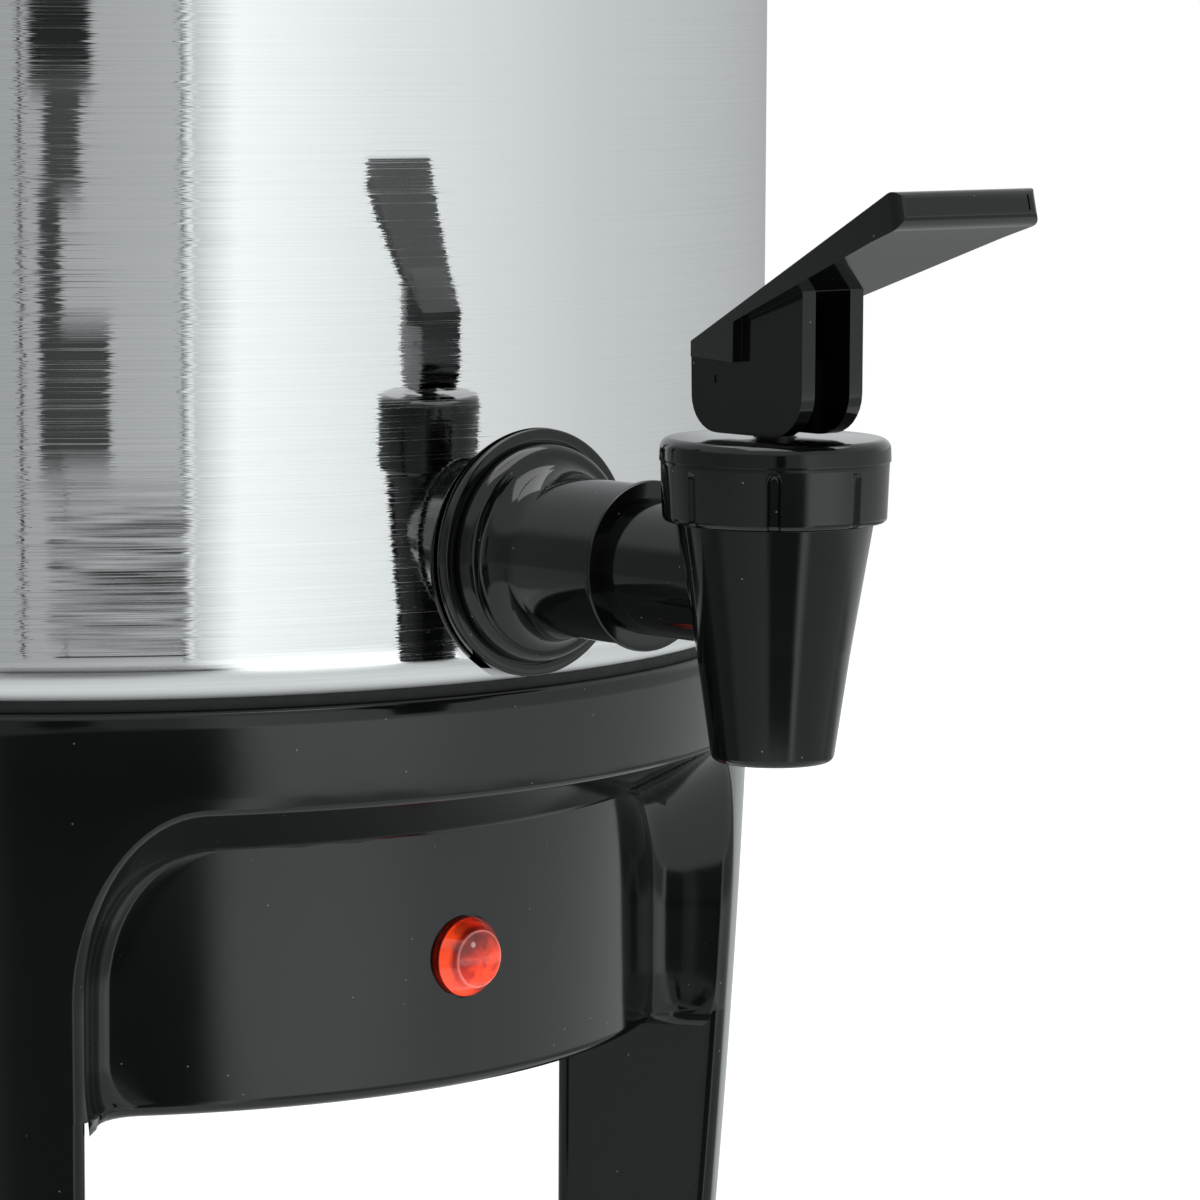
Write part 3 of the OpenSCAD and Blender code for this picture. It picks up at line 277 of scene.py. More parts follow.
class Finish(Nodes):
    """A material with one shader, and the patterns that feed it."""

    def __init__(self, name, **look):
        self.material = bpy.data.materials.new(name)
        self.material.use_nodes = True
        self.tree = self.material.node_tree
        self.shader = self.tree.nodes["Principled BSDF"]
        for socket, value in look.items():
            socket = socket.replace("_", " ")
            if isinstance(value, tuple):
                value = (*value, 1.0)
            self.shader.inputs[socket].default_value = value

    def place(self, scale=(1, 1, 1), shift=(0, 0, 0)):
        where = self.node("ShaderNodeTexCoord").outputs["Object"]
        return self.node("ShaderNodeMapping", {"Vector": where, "Scale": scale,
                                               "Location": shift}).outputs[0]

    def noise(self, scale, where=None, detail=2.0, rough=0.5):
        where = where or self.place()
        return self.node("ShaderNodeTexNoise", {"Vector": where, "Scale": scale,
                                                "Detail": detail, "Roughness": rough}).outputs[0]

    def vectors(self, operation, first, second=None):
        """Sums on vectors. SCALE takes its factor as the second value."""
        inputs = {0: first}
        if second is not None:
            inputs["Scale" if operation == "SCALE" else 1] = second
        return self.node("ShaderNodeVectorMath", inputs, operation=operation).outputs[0]

    def far(self, a, b):
        """Length of the hypotenuse over two sides."""
        squares = self.sums("ADD", self.sums("MULTIPLY", a, a), self.sums("MULTIPLY", b, b))
        return self.sums("SQRT", squares)

    def blend(self, amount, first, second):
        mix = self.node("ShaderNodeMix", data_type="RGBA")
        for socket, value in ((mix.inputs[0], amount), (mix.inputs[6], first),
                              (mix.inputs[7], second)):
            if isinstance(value, bpy.types.NodeSocket):
                self.tree.links.new(value, socket)
            else:
                socket.default_value = (*value, 1.0) if isinstance(value, tuple) else value
        return mix.outputs[2]

    def feed(self, socket, value):
        self.tree.links.new(value, self.shader.inputs[socket])

    def bump(self, height, strength, distance):
        self.feed("Normal", self.node("ShaderNodeBump", {
            "Height": height, "Strength": strength, "Distance": distance}).outputs[0])


def rolled_aluminium():
    """Bright rolled sheet: every fine line around the tank leans a little sideways."""
    f = Finish("rolled_aluminium", Base_Color=(0.92, 0.925, 0.93), Metallic=1.0, Roughness=0.04)
    lines = f.noise(1.0, f.place((8, 8, 7500)), 2.0, 0.6)
    bands = f.noise(1.0, f.place((4, 4, 500)), 2.0, 0.5)
    haze = f.noise(1.0, f.place((9, 9, 6500), (0.5, 0.2, 0.1)), 3.0, 0.6)
    needles = f.noise(1.0, f.place((14, 14, 7500), (0.3, 0.1, 0.7)), 1.0, 0.5)
    soft, wide, sharp = 0.004, 0.001, 0.011
    lean = f.sums("ADD", f.band(lines, 0.0, 1.0, -soft, soft), f.sums(
        "SUBTRACT", f.band(needles, 0.54, 0.74, 0.0, sharp), f.band(needles, 0.26, 0.46, sharp, 0.0)))
    lean = f.sums("ADD", lean, f.band(bands, 0.0, 1.0, -wide, wide))
    face = f.node("ShaderNodeNewGeometry").outputs["Normal"]
    along = f.vectors("CROSS_PRODUCT", (0, 0, 1), face)
    leant = f.vectors("ADD", face, f.vectors("SCALE", along, lean))
    f.feed("Normal", f.vectors("NORMALIZE", leant))
    # scuffed dull just over the rounded bottom edge
    high = f.node("ShaderNodeSeparateXYZ", {0: f.place()}).outputs[2]
    worn = f.band(high, 0.1286, 0.1299, 0.60, 0.0)
    f.feed("Roughness", f.sums("MAXIMUM", worn, f.band(haze, 0.52, 0.72, 0.01, 0.20)))
    f.feed("Base Color", f.blend(f.band(lines, 0.35, 0.65, 0.0, 1.0), (0.87, 0.88, 0.885),
                                 (0.93, 0.935, 0.94)))
    return f.material


def moulded_black(name, grey, rough):
    """Glossy black plastic with a faint ripple and a few grains of dust."""
    tint = (0.9 * grey, grey, grey)
    f = Finish(name, Base_Color=tint, Roughness=rough, IOR=1.5)
    f.bump(f.noise(160.0, None, 2.0), 0.09, 0.0001)
    f.feed("Roughness", f.band(f.noise(35.0, None, 3.0), 0.3, 0.7, rough - 0.02, rough + 0.02))
    grains = f.node("ShaderNodeTexVoronoi", {"Vector": f.place(), "Scale": 260.0})
    dust = f.band(grains.outputs["Distance"], 0.02, 0.045, 1.0, 0.0)
    f.feed("Base Color", f.blend(dust, tint, (0.17, 0.18, 0.18)))
    return f.material


def amber_lens():
    """Clear red plastic with painted light: a painted glow in rays, brighter at the lower left, painted
    reflections inside, a painted highlight ring and glint, and a painted shadow at the edge.
    """
    f = Finish("amber_lens", Base_Color=(0.95, 0.04, 0.012), Roughness=0.03, IOR=1.49,
               Transmission_Weight=0.6, Coat_Weight=0.6, Coat_Roughness=0.03)
    x, _, z = f.node("ShaderNodeSeparateXYZ", {0: f.place()}).outputs
    high = f.sums("SUBTRACT", z, LIGHT_Z * MM)
    away = f.far(x, high)
    # painted light inside: a glow in rays as if through moulded ribs, with painted reflection blocks,
    # brighter towards the lower left
    painted_rib_rays = f.sums("SINE", f.sums("MULTIPLY", f.sums("ARCTAN2", high, x), 9.0))
    reflection_blocks = f.band(f.noise(380.0, None, 1.0), 0.42, 0.54, 0.0, 1.0)
    low = f.band(f.sums("SUBTRACT", high, f.sums("MULTIPLY", x, 0.5)), -0.003, 0.003, 0.9, 0.10)
    inner = f.sums("MULTIPLY", f.band(painted_rib_rays, -0.6, 0.6, 0.8, 1.0),
                   f.sums("MULTIPLY", f.band(reflection_blocks, 0.0, 1.0, 0.45, 1.0), low))
    # painted light: the rim glows round them, brighter at the lower left
    rim = f.band(away, 0.0051, 0.0056, 0.0, 1.0)
    below = f.band(f.sums("ADD", x, high), -0.001, 0.004, 1.0, 0.25)
    lit = f.sums("MULTIPLY", rim, f.sums("MULTIPLY", below, f.band(reflection_blocks, 0.0, 1.0, 0.7, 1.0)))
    painted_glow = f.sums("MAXIMUM", lit, inner)
    plastic_and_painted_light = f.blend(painted_glow, (0.16, 0.006, 0.003), (1.0, 0.08, 0.018))
    # a painted highlight ring where the dome meets the cone, a small painted glint and a painted shadow
    # at the outer edge
    highlight_ring = f.sums("MULTIPLY", f.band(away, 0.0044, 0.0046, 0.0, 1.0),
                  f.band(away, 0.0047, 0.0049, 1.0, 0.0))
    plastic_and_painted_light = f.blend(highlight_ring, plastic_and_painted_light, (0.85, 0.42, 0.38))
    glint_spot = f.far(f.sums("ADD", x, 0.0017), f.sums("SUBTRACT", high, 0.0026))
    plastic_and_painted_light = f.blend(f.band(glint_spot, 0.0003, 0.0006, 1.0, 0.0), plastic_and_painted_light, (0.95, 0.9, 0.88))
    # painted shadow: dark round the outer edge, where the gap round the lens lies in shade
    edge = f.band(away, 0.00645, 0.0066, 0.0, 1.0)
    f.feed("Base Color", f.blend(edge, plastic_and_painted_light, (0.01, 0.002, 0.002)))
    painted_glow = f.sums("MULTIPLY", painted_glow, f.sums("SUBTRACT", 1.0, edge))
    # painted glow: the lens itself gives off light in this pattern
    f.shader.inputs["Emission Color"].default_value = (1.0, 0.075, 0.014, 1)
    f.feed("Emission Strength", f.sums("MULTIPLY", painted_glow, 0.6))
    return f.material


def brushed(name, colour, rough, stretch):
    """Metal with fine marks along one way."""
    f = Finish(name, Base_Color=colour, Metallic=1.0, Roughness=rough)
    marks = f.noise(1.0, f.place(stretch), 3.0, 0.6)
    f.bump(marks, 0.3, 0.00004)
    f.feed("Roughness", f.band(marks, 0.3, 0.7, max(rough - 0.08, 0.02), rough + 0.08))
    dark = tuple(0.8 * c for c in colour)
    f.feed("Base Color", f.blend(f.band(marks, 0.35, 0.7, 0.0, 1.0), dark, colour))
    return f.material


def grained(name, colour, rough, size=900.0, **look):
    """Plastic or rubber with a fine even grain."""
    f = Finish(name, Base_Color=colour, Roughness=rough, **look)
    grain = f.noise(size, None, 3.0, 0.6)
    f.bump(grain, 0.4, 0.00008)
    f.feed("Roughness", f.band(grain, 0.3, 0.7, rough - 0.06, rough + 0.06))
    dark = tuple(0.75 * c for c in colour)
    f.feed("Base Color", f.blend(f.band(f.noise(60.0), 0.3, 0.7, 0.0, 1.0), dark, colour))
    return f.material


def dress(piece, material):
    piece.data.materials.clear()
    piece.data.materials.append(material)


def fit(piece, body, material, slot, *stands_for):
    """Puts a finished piece on its body, in place of the plain solids."""
    dress(piece, material)
    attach(piece, body)
    if stands_for:
        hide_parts(*stands_for)
    return piece


# ---- tank ----

def make_tank():
    """Drawn pot with a rounded bottom edge, a curled rim and a pressed seat for the tap."""
    corner, bead = 4.0, 2.4
    r, inner_r, z0, top = TANK_R, TANK_R - SHEET, JOINT_Z, TANK_TOP
    rows = [(r, z0 + 8 + 15 * i) for i in range(13)] + [(r, top - 2)]
    curl = [(inner_r + bead + bead * cos(radians(a)), top + bead + bead * sin(radians(a)))
            for a in range(-126, 181, 7)]
    # closely spaced inside, where the seat is pressed
    inside = [(inner_r, z0 + 56 - 1.7 * i) for i in range(29)]
    outline = [(WELL_R, z0)]
    outline += rounded([(WELL_R, z0), (r, z0, corner), rows[0]], 24)[1:]
    outline += rows[1:] + [(r, top + 0.2)] + curl + [(inner_r, top + bead)] + inside
    outline += rounded([inside[-1], (inner_r, z0 + SHEET, corner - SHEET), (WELL_R, z0 + SHEET)], 12)[1:]
    outline += [(WELL_R, z0)]
    tank = turned("tank_shell", outline, 540, angle=50)
    for v in tank.data.vertices:
        x, out, z = v.co.x / MM, -v.co.y / MM, v.co.z / MM - TAP_Z
        inner = sqrt(v.co.x ** 2 + v.co.y ** 2) / MM < r - SHEET / 2
        wall_only = inner and v.co.z / MM > z0 + 4.5
        if wall_only and out > SEAT_OUT - SHEET and sqrt(x * x + z * z) < 24.0:
            v.co.y = -(SEAT_OUT - SHEET) * MM
    carve(tank, rod("tap_seat", 20.5, (-0.45, TAP_Z - 0.4), SEAT_OUT, 125.0, 180))
    carve(tank, rod("tap_hole", 9.2, (0, TAP_Z), 112.0, 125.0, 64))
    return tidy(tank, 9, 1e-7)


# ---- base ----

def skin(z):
    """Radius of the base's outside at a height below the joint."""
    high_r, low_r = SKIN_R
    u = (SEAM_Z - z) / (SEAM_Z - SOLE_Z)
    return high_r - (high_r - low_r) * (0.52 * u + 0.48 * u * u)


def arch_lines(span):
    """Outer and inner line of one recess from its middle round to the leg that
    stands span degrees away, as (angle, height) pairs, with how far the section
    has become the leg's."""
    outer, inner, legness = [], [], []
    corner = span - LEG_HALF - CORNER
    wide = round(corner / 2)
    for k in range(wide + 1):
        outer.append((corner * k / wide, ARCH_Z))
        inner.append(((corner - 2.5) * k / wide, LEDGE_Z))
        legness.append(0.0)
    for k in range(1, CORNER_STEPS + 1):
        w = k / CORNER_STEPS
        t = radians(90 * w)
        outer.append((corner + CORNER * sin(t), ARCH_Z - 29.7 + 29.7 * cos(t)))
        inner.append((corner - 2.5 + 9.4 * sin(t), LEDGE_Z - 22.6 + 22.6 * cos(t)))
        legness.append(w * w * (3 - 2 * w))
    # straight down the leg, with the inner line's last corner rounded inwards
    for z in (-50.5, -53.0, -55.5, -58.0, -60.5, -62.0, -63.3, -64.4, -65.3, -66.0, -66.6, -67.1,
              PANEL_LOW):
        turn = max(0.0, (-60.5 - z) / 7.2)
        outer.append((corner + CORNER, z))
        inner.append((corner + 6.9 - 3.4 * (1 - sqrt(1 - turn * turn)), z))
        legness.append(1.0)
    return outer, inner, legness


def across_top():
    """Section over the recess, as (depth from the skin, height past the edge)."""
    line = rounded([(0, 3.2), (0, 0, 1.6), (TOP_DEPTH, -TOP_DROP, 3.0), (TOP_DEPTH, -14.0)], 7)
    return line[1:-1]


def across_leg():
    """Section of the leg's side, as (depth from the skin, distance past the edge)."""
    turns = [radians(a * 90 / 7) for a in range(8)]
    edge = [(2.3 - 2.3 * cos(t), -2.3 + 2.3 * sin(t)) for t in turns]
    sweep = [(6.0 + 6.4 * sin(t), LEG_SWEEP - LEG_SWEEP * cos(t)) for t in turns]
    return edge + sweep


def around(r, angle, z):
    """A place at a radius and an angle from the tap, at a height from the joint."""
    a = radians(angle)
    return (r * sin(a), -r * cos(a), z + JOINT_Z)


def polar(p):
    """The angle and height of a place."""
    return degrees(atan2(p[0], -p[1])), p[2] - JOINT_Z


class Patchwork:
    """Gathers rows of places into one skin."""

    def __init__(self):
        self.points, self.faces = [], []

    def grid(self, rows):
        first, wide = len(self.points), len(rows[0])
        for row in rows:
            self.points.extend(row)
        for i in range(len(rows) - 1):
            for j in range(wide - 1):
                a = first + i * wide + j
                self.faces.append((a, a + 1, a + wide + 1, a + wide))

    def stitch(self, one, other):
        """Triangles between two rows with unlike numbers of places."""
        a = len(self.points)
        b = a + len(one)
        self.points.extend(one + other)
        i = j = 0
        while i < len(one) - 1 or j < len(other) - 1:
            ahead = j == len(other) - 1 or (i < len(one) - 1
                                            and polar(one[i + 1])[0] <= polar(other[j + 1])[0])
            if ahead:
                self.faces.append((a + i, a + i + 1, b + j))
                i += 1
            else:
                self.faces.append((a + i, b + j + 1, b + j))
                j += 1

    def piece(self, name):
        return surface(name, self.points, self.faces)


def recess_band(outer, inner, legness):
    """Rows across the moulding, each from the skin in to the panel."""
    band = []
    for (oa, oz), (ia, iz), w in zip(outer, inner, legness):
        row = []
        deep = skin(oz) - PANEL_R
        for (td, ty), (ld, lx) in zip(across_top(), across_leg()):
            t_share = min(1.0, max(0.0, -ty / TOP_DROP))
            l_share = min(1.0, max(0.0, lx) / LEG_SWEEP) * 0.8 + 0.2 * min(1.0, ld / 6.0)
            share = t_share * (1 - w) + l_share * w
            before = max(0.0, ty) * (1 - w) + max(0.0, -lx) * w
            r = (skin(oz) - td * deep / TOP_DEPTH) * (1 - w) + (skin(oz) - ld * deep / LEG_DEPTH) * w
            angle = oa + (ia - oa) * share + degrees(before * w / LEG_R)
            row.append(around(max(PANEL_R, r), angle, oz + (iz - oz) * share + before * (1 - w)))
        band.append(row)
    return band


def skin_band(band, span, wide):
    """Skin between the arch and the rim, and on to the middle of the leg."""
    rows = []
    side = LEG_HALF + CORNER
    for i, row in enumerate(band):
        a0, z0 = polar(row[0])
        if i <= wide:
            a1, z1 = a0 + 0.4 * side * i / wide, RIM_Z
        elif i <= wide + CORNER_STEPS:
            s = (i - wide) / CORNER_STEPS
            a1 = span - side + side * (0.4 + 0.6 * min(1.0, 2 * s))
            z1 = RIM_Z if s < 0.5 else RIM_Z + (z0 - RIM_Z) * (2 * s - 1)
        else:
            a1, z1 = span, z0
        heights = [z0 + (z1 - z0) * j / 8 for j in range(9)]
        rows.append([around(skin(z), a0 + (a1 - a0) * j / 8, z) for j, z in enumerate(heights)])
    return rows


def lower_edge(foot_line, panel_count):
    """Rows that round the edge under the panel, with a small web in the corner by the leg."""
    under, reach = 1.9, 3.0
    last = panel_count + 7
    shape = []
    for j in range(len(foot_line)):
        off = reach if j < panel_count else max(0.0, reach * (1 - (j - panel_count + 1) / 7.5))
        web = 0.3 * (reach - sqrt(reach * reach - (reach - off) ** 2))
        shape.append((1.0, web) if j <= last else (0.0, 0.0))

    rows = []
    for a in range(0, 91, 15):
        inwards, down = under - under * cos(radians(a)), under * sin(radians(a))
        row = []
        for (x, y, z), (turned_in, web) in zip(foot_line, shape):
            r = sqrt(x * x + y * y)
            k = (r - inwards * turned_in) / r
            row.append((x * k, y * k, z - down * turned_in - web))
        rows.append(row)
    return rows


def half_recess(span):
    """The moulding from the middle of a recess to the middle of its leg."""
    skirt = Patchwork()
    outer, inner, legness = arch_lines(span)
    wide = legness.index(next(w for w in legness if w > 0)) - 1
    band = recess_band(outer, inner, legness)
    skin_rows = skin_band(band, span, wide)
    skirt.grid(band)
    skirt.grid(skin_rows)

    # panel inside the arch
    edge = [polar(row[-1]) for row in band]
    panel = [[around(PANEL_R, *edge[k]) for k in range(wide + 1)]]
    for a1, z1 in edge[wide + 1:]:
        panel.append([around(PANEL_R, a1 * k / wide, z1) for k in range(wide + 1)])
    skirt.grid(panel)

    foot_line = panel[-1] + band[-1][-2::-1] + skin_rows[-1][1:]
    rows = [foot_line] + lower_edge(foot_line, len(panel[-1]))
    inside = []
    for x, y, z in rows[-1]:
        r = sqrt(x * x + y * y)
        inside.append((x * INNER_R / r, y * INNER_R / r, z))
    skirt.grid(rows + [inside])

    # rim: rounded over, then in to the seam and down the inner wall
    rim = [(skin(RIM_Z), RIM_Z)]
    for a in range(15, 91, 15):
        t = radians(a)
        rim.append((119.0 + 1.2 * cos(t), RIM_Z + 1.2 * sin(t)))
    rim += [(112.0, SEAM_Z), (112.0, -4.0), (INNER_R, -4.0)]
    angles = [polar(r[-1])[0] for r in skin_rows if abs(r[-1][2] - JOINT_Z - RIM_Z) < 1e-6]
    if angles[-1] < span - 1e-4:
        angles.append(span)
    skirt.grid([[around(r, a, z) for a in angles] for r, z in rim])
    skirt.stitch([around(INNER_R, a, -4.0) for a in angles], inside)
    return tidy(skirt.piece("half_recess"), 50, 4e-5)


def make_leg():
    """One leg, which points forward, from below the arch down to its sole."""
    leg = Patchwork()
    rows = []
    quarter = [radians(a) for a in range(0, 91, 15)]
    levels = [(z, 0) for z in (PANEL_LOW, -69.5, -76, -84, -92, -100, -108, -116, -120.6)]
    # the last ones draw in to round the sole's edge
    for z, s in levels + [(-121.4, 0.25), (-121.8, 0.7), (SOLE_Z, 1.4)]:
        r0, side = skin(z) - s, LEG_HALF - degrees(s / 105.0)
        flat = side - degrees(2.3 / LEG_R)
        right = [(flat * k / 5.0, r0) for k in range(5)]
        right += [(flat + degrees(2.3 * sin(t) / LEG_R), r0 - 2.3 + 2.3 * cos(t)) for t in quarter]
        right += [(side, r0 - 6.0), (side, 100.0), (side, 94.0)]
        right += [(side - degrees(2.5 * (1 - cos(t)) / 89.0), 90.0 + s - 2.5 * sin(t)) for t in quarter]
        right += [((side - 1.6) * 0.5, 87.5 + s), (0.0, 87.5 + s)]
        left = [(-h, out) for h, out in reversed(right)]
        rows.append([around(out, h, z) for h, out in right + left[1:]])
    leg.grid(rows)
    for row in (rows[0], rows[-1]):
        leg.grid([row, [(0.0, -100.5, row[0][2])] * len(row)])
    return tidy(leg.piece("leg"), 40, 1e-6)


def copy_of(piece, change):
    """A copy with its own mesh, moved or mirrored."""
    copy = piece.copy()
    copy.data = piece.data.copy()
    scene.collection.objects.link(copy)
    copy.data.transform(change)
    if change.determinant() < 0:
        copy.data.flip_normals()
    return copy


def box(name, low, high):
    """A block between two corners, in millimetres."""
    middle = [(a + b) / 2 * MM for a, b in zip(low, high)]
    ops.mesh.primitive_cube_add(size=1, location=middle,
                                scale=[(b - a) * MM for a, b in zip(low, high)])
    take(bpy.context.object)
    ops.object.transform_apply(location=True, rotation=True, scale=True)
    bpy.context.object.name = name
    return bpy.context.object


def rod(name, r, at, out_from, out_to, steps=48):
    """A round rod that runs forward at (sideways, height)."""
    ops.mesh.primitive_cylinder_add(
        vertices=steps, radius=r * MM, depth=(out_to - out_from) * MM, rotation=(pi / 2, 0, 0),
        location=(at[0] * MM, -(out_from + out_to) / 2 * MM, at[1] * MM))
    take(bpy.context.object)
    ops.object.transform_apply(location=True, rotation=True, scale=True)
    bpy.context.object.name = name
    return bpy.context.object


def make_base():
    """Moulded ring with three recesses between three legs, one of them at the rear."""
    flip = Matrix.Diagonal((-1, 1, 1, 1))
    parts = []
    for span, turns in ((45.0, (0.0,)), (67.5, (-112.5, 112.5))):
        half = half_recess(span)
        for turn in turns:
            spin = Matrix.Rotation(radians(turn), 4, "Z")
            parts += [copy_of(half, spin), copy_of(half, spin @ flip)]
        bpy.data.objects.remove(half)
    base = tidy(join("base_moulding", parts), 42, 4e-5)
    carve(base, rod("light_hole", 5.05, (0, LIGHT_Z), 98, 112))
    carve(base, rod("light_seat", 6.95, (0, LIGHT_Z), 104.55, 112, 96))
    low, high = INLET_Z - 14.2, INLET_Z + 14.2
    carve(base, box("inlet_pocket", (101.6, -24.7, low), (112, 24.7, high)))
    carve(base, box("inlet_hole", (96, -15.7, low + 3), (103, 15.7, high - 3)))
    leg = make_leg()
    legs = [copy_of(leg, Matrix.Rotation(radians(a), 4, "Z")) for a in (45, -45, 180)]
    bpy.data.objects.remove(leg)
    base = join("base_moulding", [base] + legs)
    take(base)
    ops.object.shade_smooth_by_angle(angle=radians(42))
    return base


# ---- tap ----

def make_escutcheon():
    """Round flange on the tank's seat, drawn in to the neck that holds the shank."""
    back, rim_out, r, neck = 120.9, 123.0, 20.0, 12.75
    front = back + 28.3
    outline = rounded([
        (back, 9.0), (back, r, 0.3), (rim_out, r, 0.5), (rim_out, 18.05, 0.08), (122.65, 18.05),
        (122.65, 17.8)], 5)
    # a full round ring, then a hollow sweep from it to the neck
    outline += [(rim_out + 2.8 * sin(radians(a)), 16.1 + 1.7 * cos(radians(a)))
                for a in range(0, 90, 6)]
    outline += [(125.8 + 5.6 * (1 - cos(radians(a))), neck + 3.35 * (1 - sin(radians(a))))
                for a in range(0, 91, 6)]
    outline += rounded([(front - 1.0, neck), (front - 1.0, 13.5, 0.2), (front, 13.5, 0.35),
                        (front, 9.0)], 4)
    outline.append((back, 9.0))
    return turned_forward("tap_flange", outline, TAP_Z, 160, 35)


def make_spout():
    """Tapered spout with its seat and bore, and the hollow shank behind it."""
    top, end, bore, low, roof = 15.2, 9.35, 7.5, 117.9, 162.0
    cone = turned("spout_cone", rounded([
        (0.0, 138.2), (4.5, 138.2), (4.5, 137.2), (bore, 134.7), (bore, low, 0.4), (end, low, 1.3),
        (11.9, 135.4, 40.0), (top, CONE_TOP, 0.3), (12.0, CONE_TOP), (12.0, roof), (0.0, roof)], 8),
        160, (0, -TAP_OUT), 40)
    back, front, neck_r, shank_r, bore = 98.0, 172.0, 8.8, 10.75, 5.0
    shank = turned_forward("spout_shank", [
        (back, bore), (back, neck_r), (120.0, neck_r), (148.0, neck_r), (149.0, shank_r),
        (166.0, shank_r), (front, shank_r), (front, 0.0), (140.0, 0.0), (140.0, bore),
        (back, bore)], TAP_Z, 96, 30)
    return join("spout", [cone, shank])


def make_bonnet():
    """Screw cap with a fine seam under its rounded top and eight grip slots."""
    r, top, low, seam = BONNET_R, 167.7, 155.0, 164.1
    rows = rounded([(3.1, top - 0.6), (3.4, top), (r - 0.02, top, 1.7), (r + 0.08, 164.6)], 9)
    rows += [(r + 0.1, seam + 0.25), (r + 0.06, seam + 0.08), (r - 0.16, seam)]
    # closely spaced down the side, where the slots are pressed
    rows += [(r - 0.12 - 0.35 * (seam - z) / 9.0, z) for z in
             [seam - 0.15 - 0.3 * i for i in range(29)]]
    rows += [(17.1, 155.25), (16.85, low), (15.3, low), (14.9, low), (14.9, 165.3), (3.1, 165.3),
             (3.1, top - 0.6)]
    bonnet = turned("bonnet_cap", rows, 720, (0, -TAP_OUT), 45)
    slot_half, slot_top, deep, apart = 0.95, 162.4, 0.75, 45
    for v in bonnet.data.vertices:
        x, y, z = v.co.x / MM, v.co.y / MM + TAP_OUT, v.co.z / MM
        far = sqrt(x * x + y * y)
        if far < 16.0 or not 154.8 < z < 164.0:
            continue
        slant = (degrees(atan2(x, -y)) + apart / 2) % apart - apart / 2
        aside = abs(radians(slant)) * far
        over = max(0.0, z - slot_top)
        reach = sqrt(aside * aside + over * over)
        if reach < slot_half:
            depth = deep * min(1.0, (slot_half - reach) / 0.35) ** 0.6
            v.co.x *= (far - depth) / far
            v.co.y = (y * (far - depth) / far - TAP_OUT) * MM
    return tidy(bonnet, 50)


def make_paddle():
    """The lever's plate, which slopes up and widens forward, in blocks from back to tip."""
    back, tip = 164.5, 216.0
    sections = []
    for out in (back, 175.6, 175.7, 178.9, 179.0, 190.0, 200.0, 210.0, 216.8):
        high = 182.0 + (out - back) * 0.487
        if out <= 175.6:
            under = 179.6 + (back - out) * 0.02
        else:
            under = 186.9 + (out - 179.2) * 0.388
        w = LEVER_HALF + (PADDLE_HALF - LEVER_HALF) * (out - back) / (tip - back)
        sections.append([(-w, -out, under), (w, -out, under), (w, -out, high), (-w, -out, high)])
    w = PADDLE_HALF
    sections[-1] = [(-w, -217.3, 201.4), (w, -217.3, 201.4), (w, -tip, 207.1), (-w, -tip, 207.1)]
    faces = [(0, 1, 2, 3), tuple(4 * (len(sections) - 1) + k for k in (3, 2, 1, 0))]
    for i in range(len(sections) - 1):
        for k in range(4):
            a, b = 4 * i + k, 4 * i + (k + 1) % 4
            faces.append((a, a + 4, b + 4, b))
    paddle = tidy(surface("lever_paddle", [p for s in sections for p in s], faces))
    # the tip's four outer corners are rounder than the other edges
    take(paddle)
    ops.object.mode_set(mode="EDIT")
    ops.mesh.select_all(action="DESELECT")
    ops.object.mode_set(mode="OBJECT")
    for edge in paddle.data.edges:
        a, b = (paddle.data.vertices[i].co / MM for i in edge.vertices)
        edge.select = a.y < -215 and b.y < -215 and abs(a.x - b.x) < 0.1
    ops.object.mode_set(mode="EDIT")
    ops.mesh.bevel(offset=2.2 * MM, segments=6, affect="EDGES")
    ops.object.mode_set(mode="OBJECT")
    return paddle


def make_lever():
    """Paddle lever: the sloping plate on two rounded cheeks, with a slot for the stem."""
    low, slot_half, mark = 168.3, 3.7, 0.55
    cheek = rounded([(176.0, 188.0), (188.6, 191.8), (188.6, low, 6.5), (164.9, low, 5.6),
                     (164.6, 182.0), (176.0, 188.0)], 8)[:-1]
    body = slab("lever_body", cheek, -LEVER_HALF, LEVER_HALF)
    slot = slab("slot", [(167.5, 160.0), (195.0, 160.0), (195.0, 191.5), (186.8, 190.2),
                         (167.5, 183.0)], -slot_half, slot_half)
    lever = weld(make_paddle(), carve(body, slot))
    lever.name = lever.data.name = "tap_lever"
    tidy(lever, 40, 1e-5)
    soften(lever, 0.8, 4, 28)
    carve(lever, box("gate_mark", (12.2, -218.0, 203.2), (12.55, -216.2, 205.9)))
    out, z = DIMPLE
    for side in (-1, 1):
        carve(lever, box("pin_mark", (side * LEVER_HALF - 0.2, -out - mark, z - mark),
                         (side * LEVER_HALF + 0.2, -out + mark, z + mark)))
    return tidy(lever, 35, 1e-6)


def make_spring():
    """The closing spring, which is held at its top, copied from the plain spring."""
    plain = frame["nodes"]["tap_spring"]
    spring = plain.copy()
    spring.data = plain.data.copy()
    scene.collection.objects.link(spring)
    spring.name = spring.data.name = "closing_spring"
    return tidy(spring, 60, 1e-6)


# ---- lid and handles ----

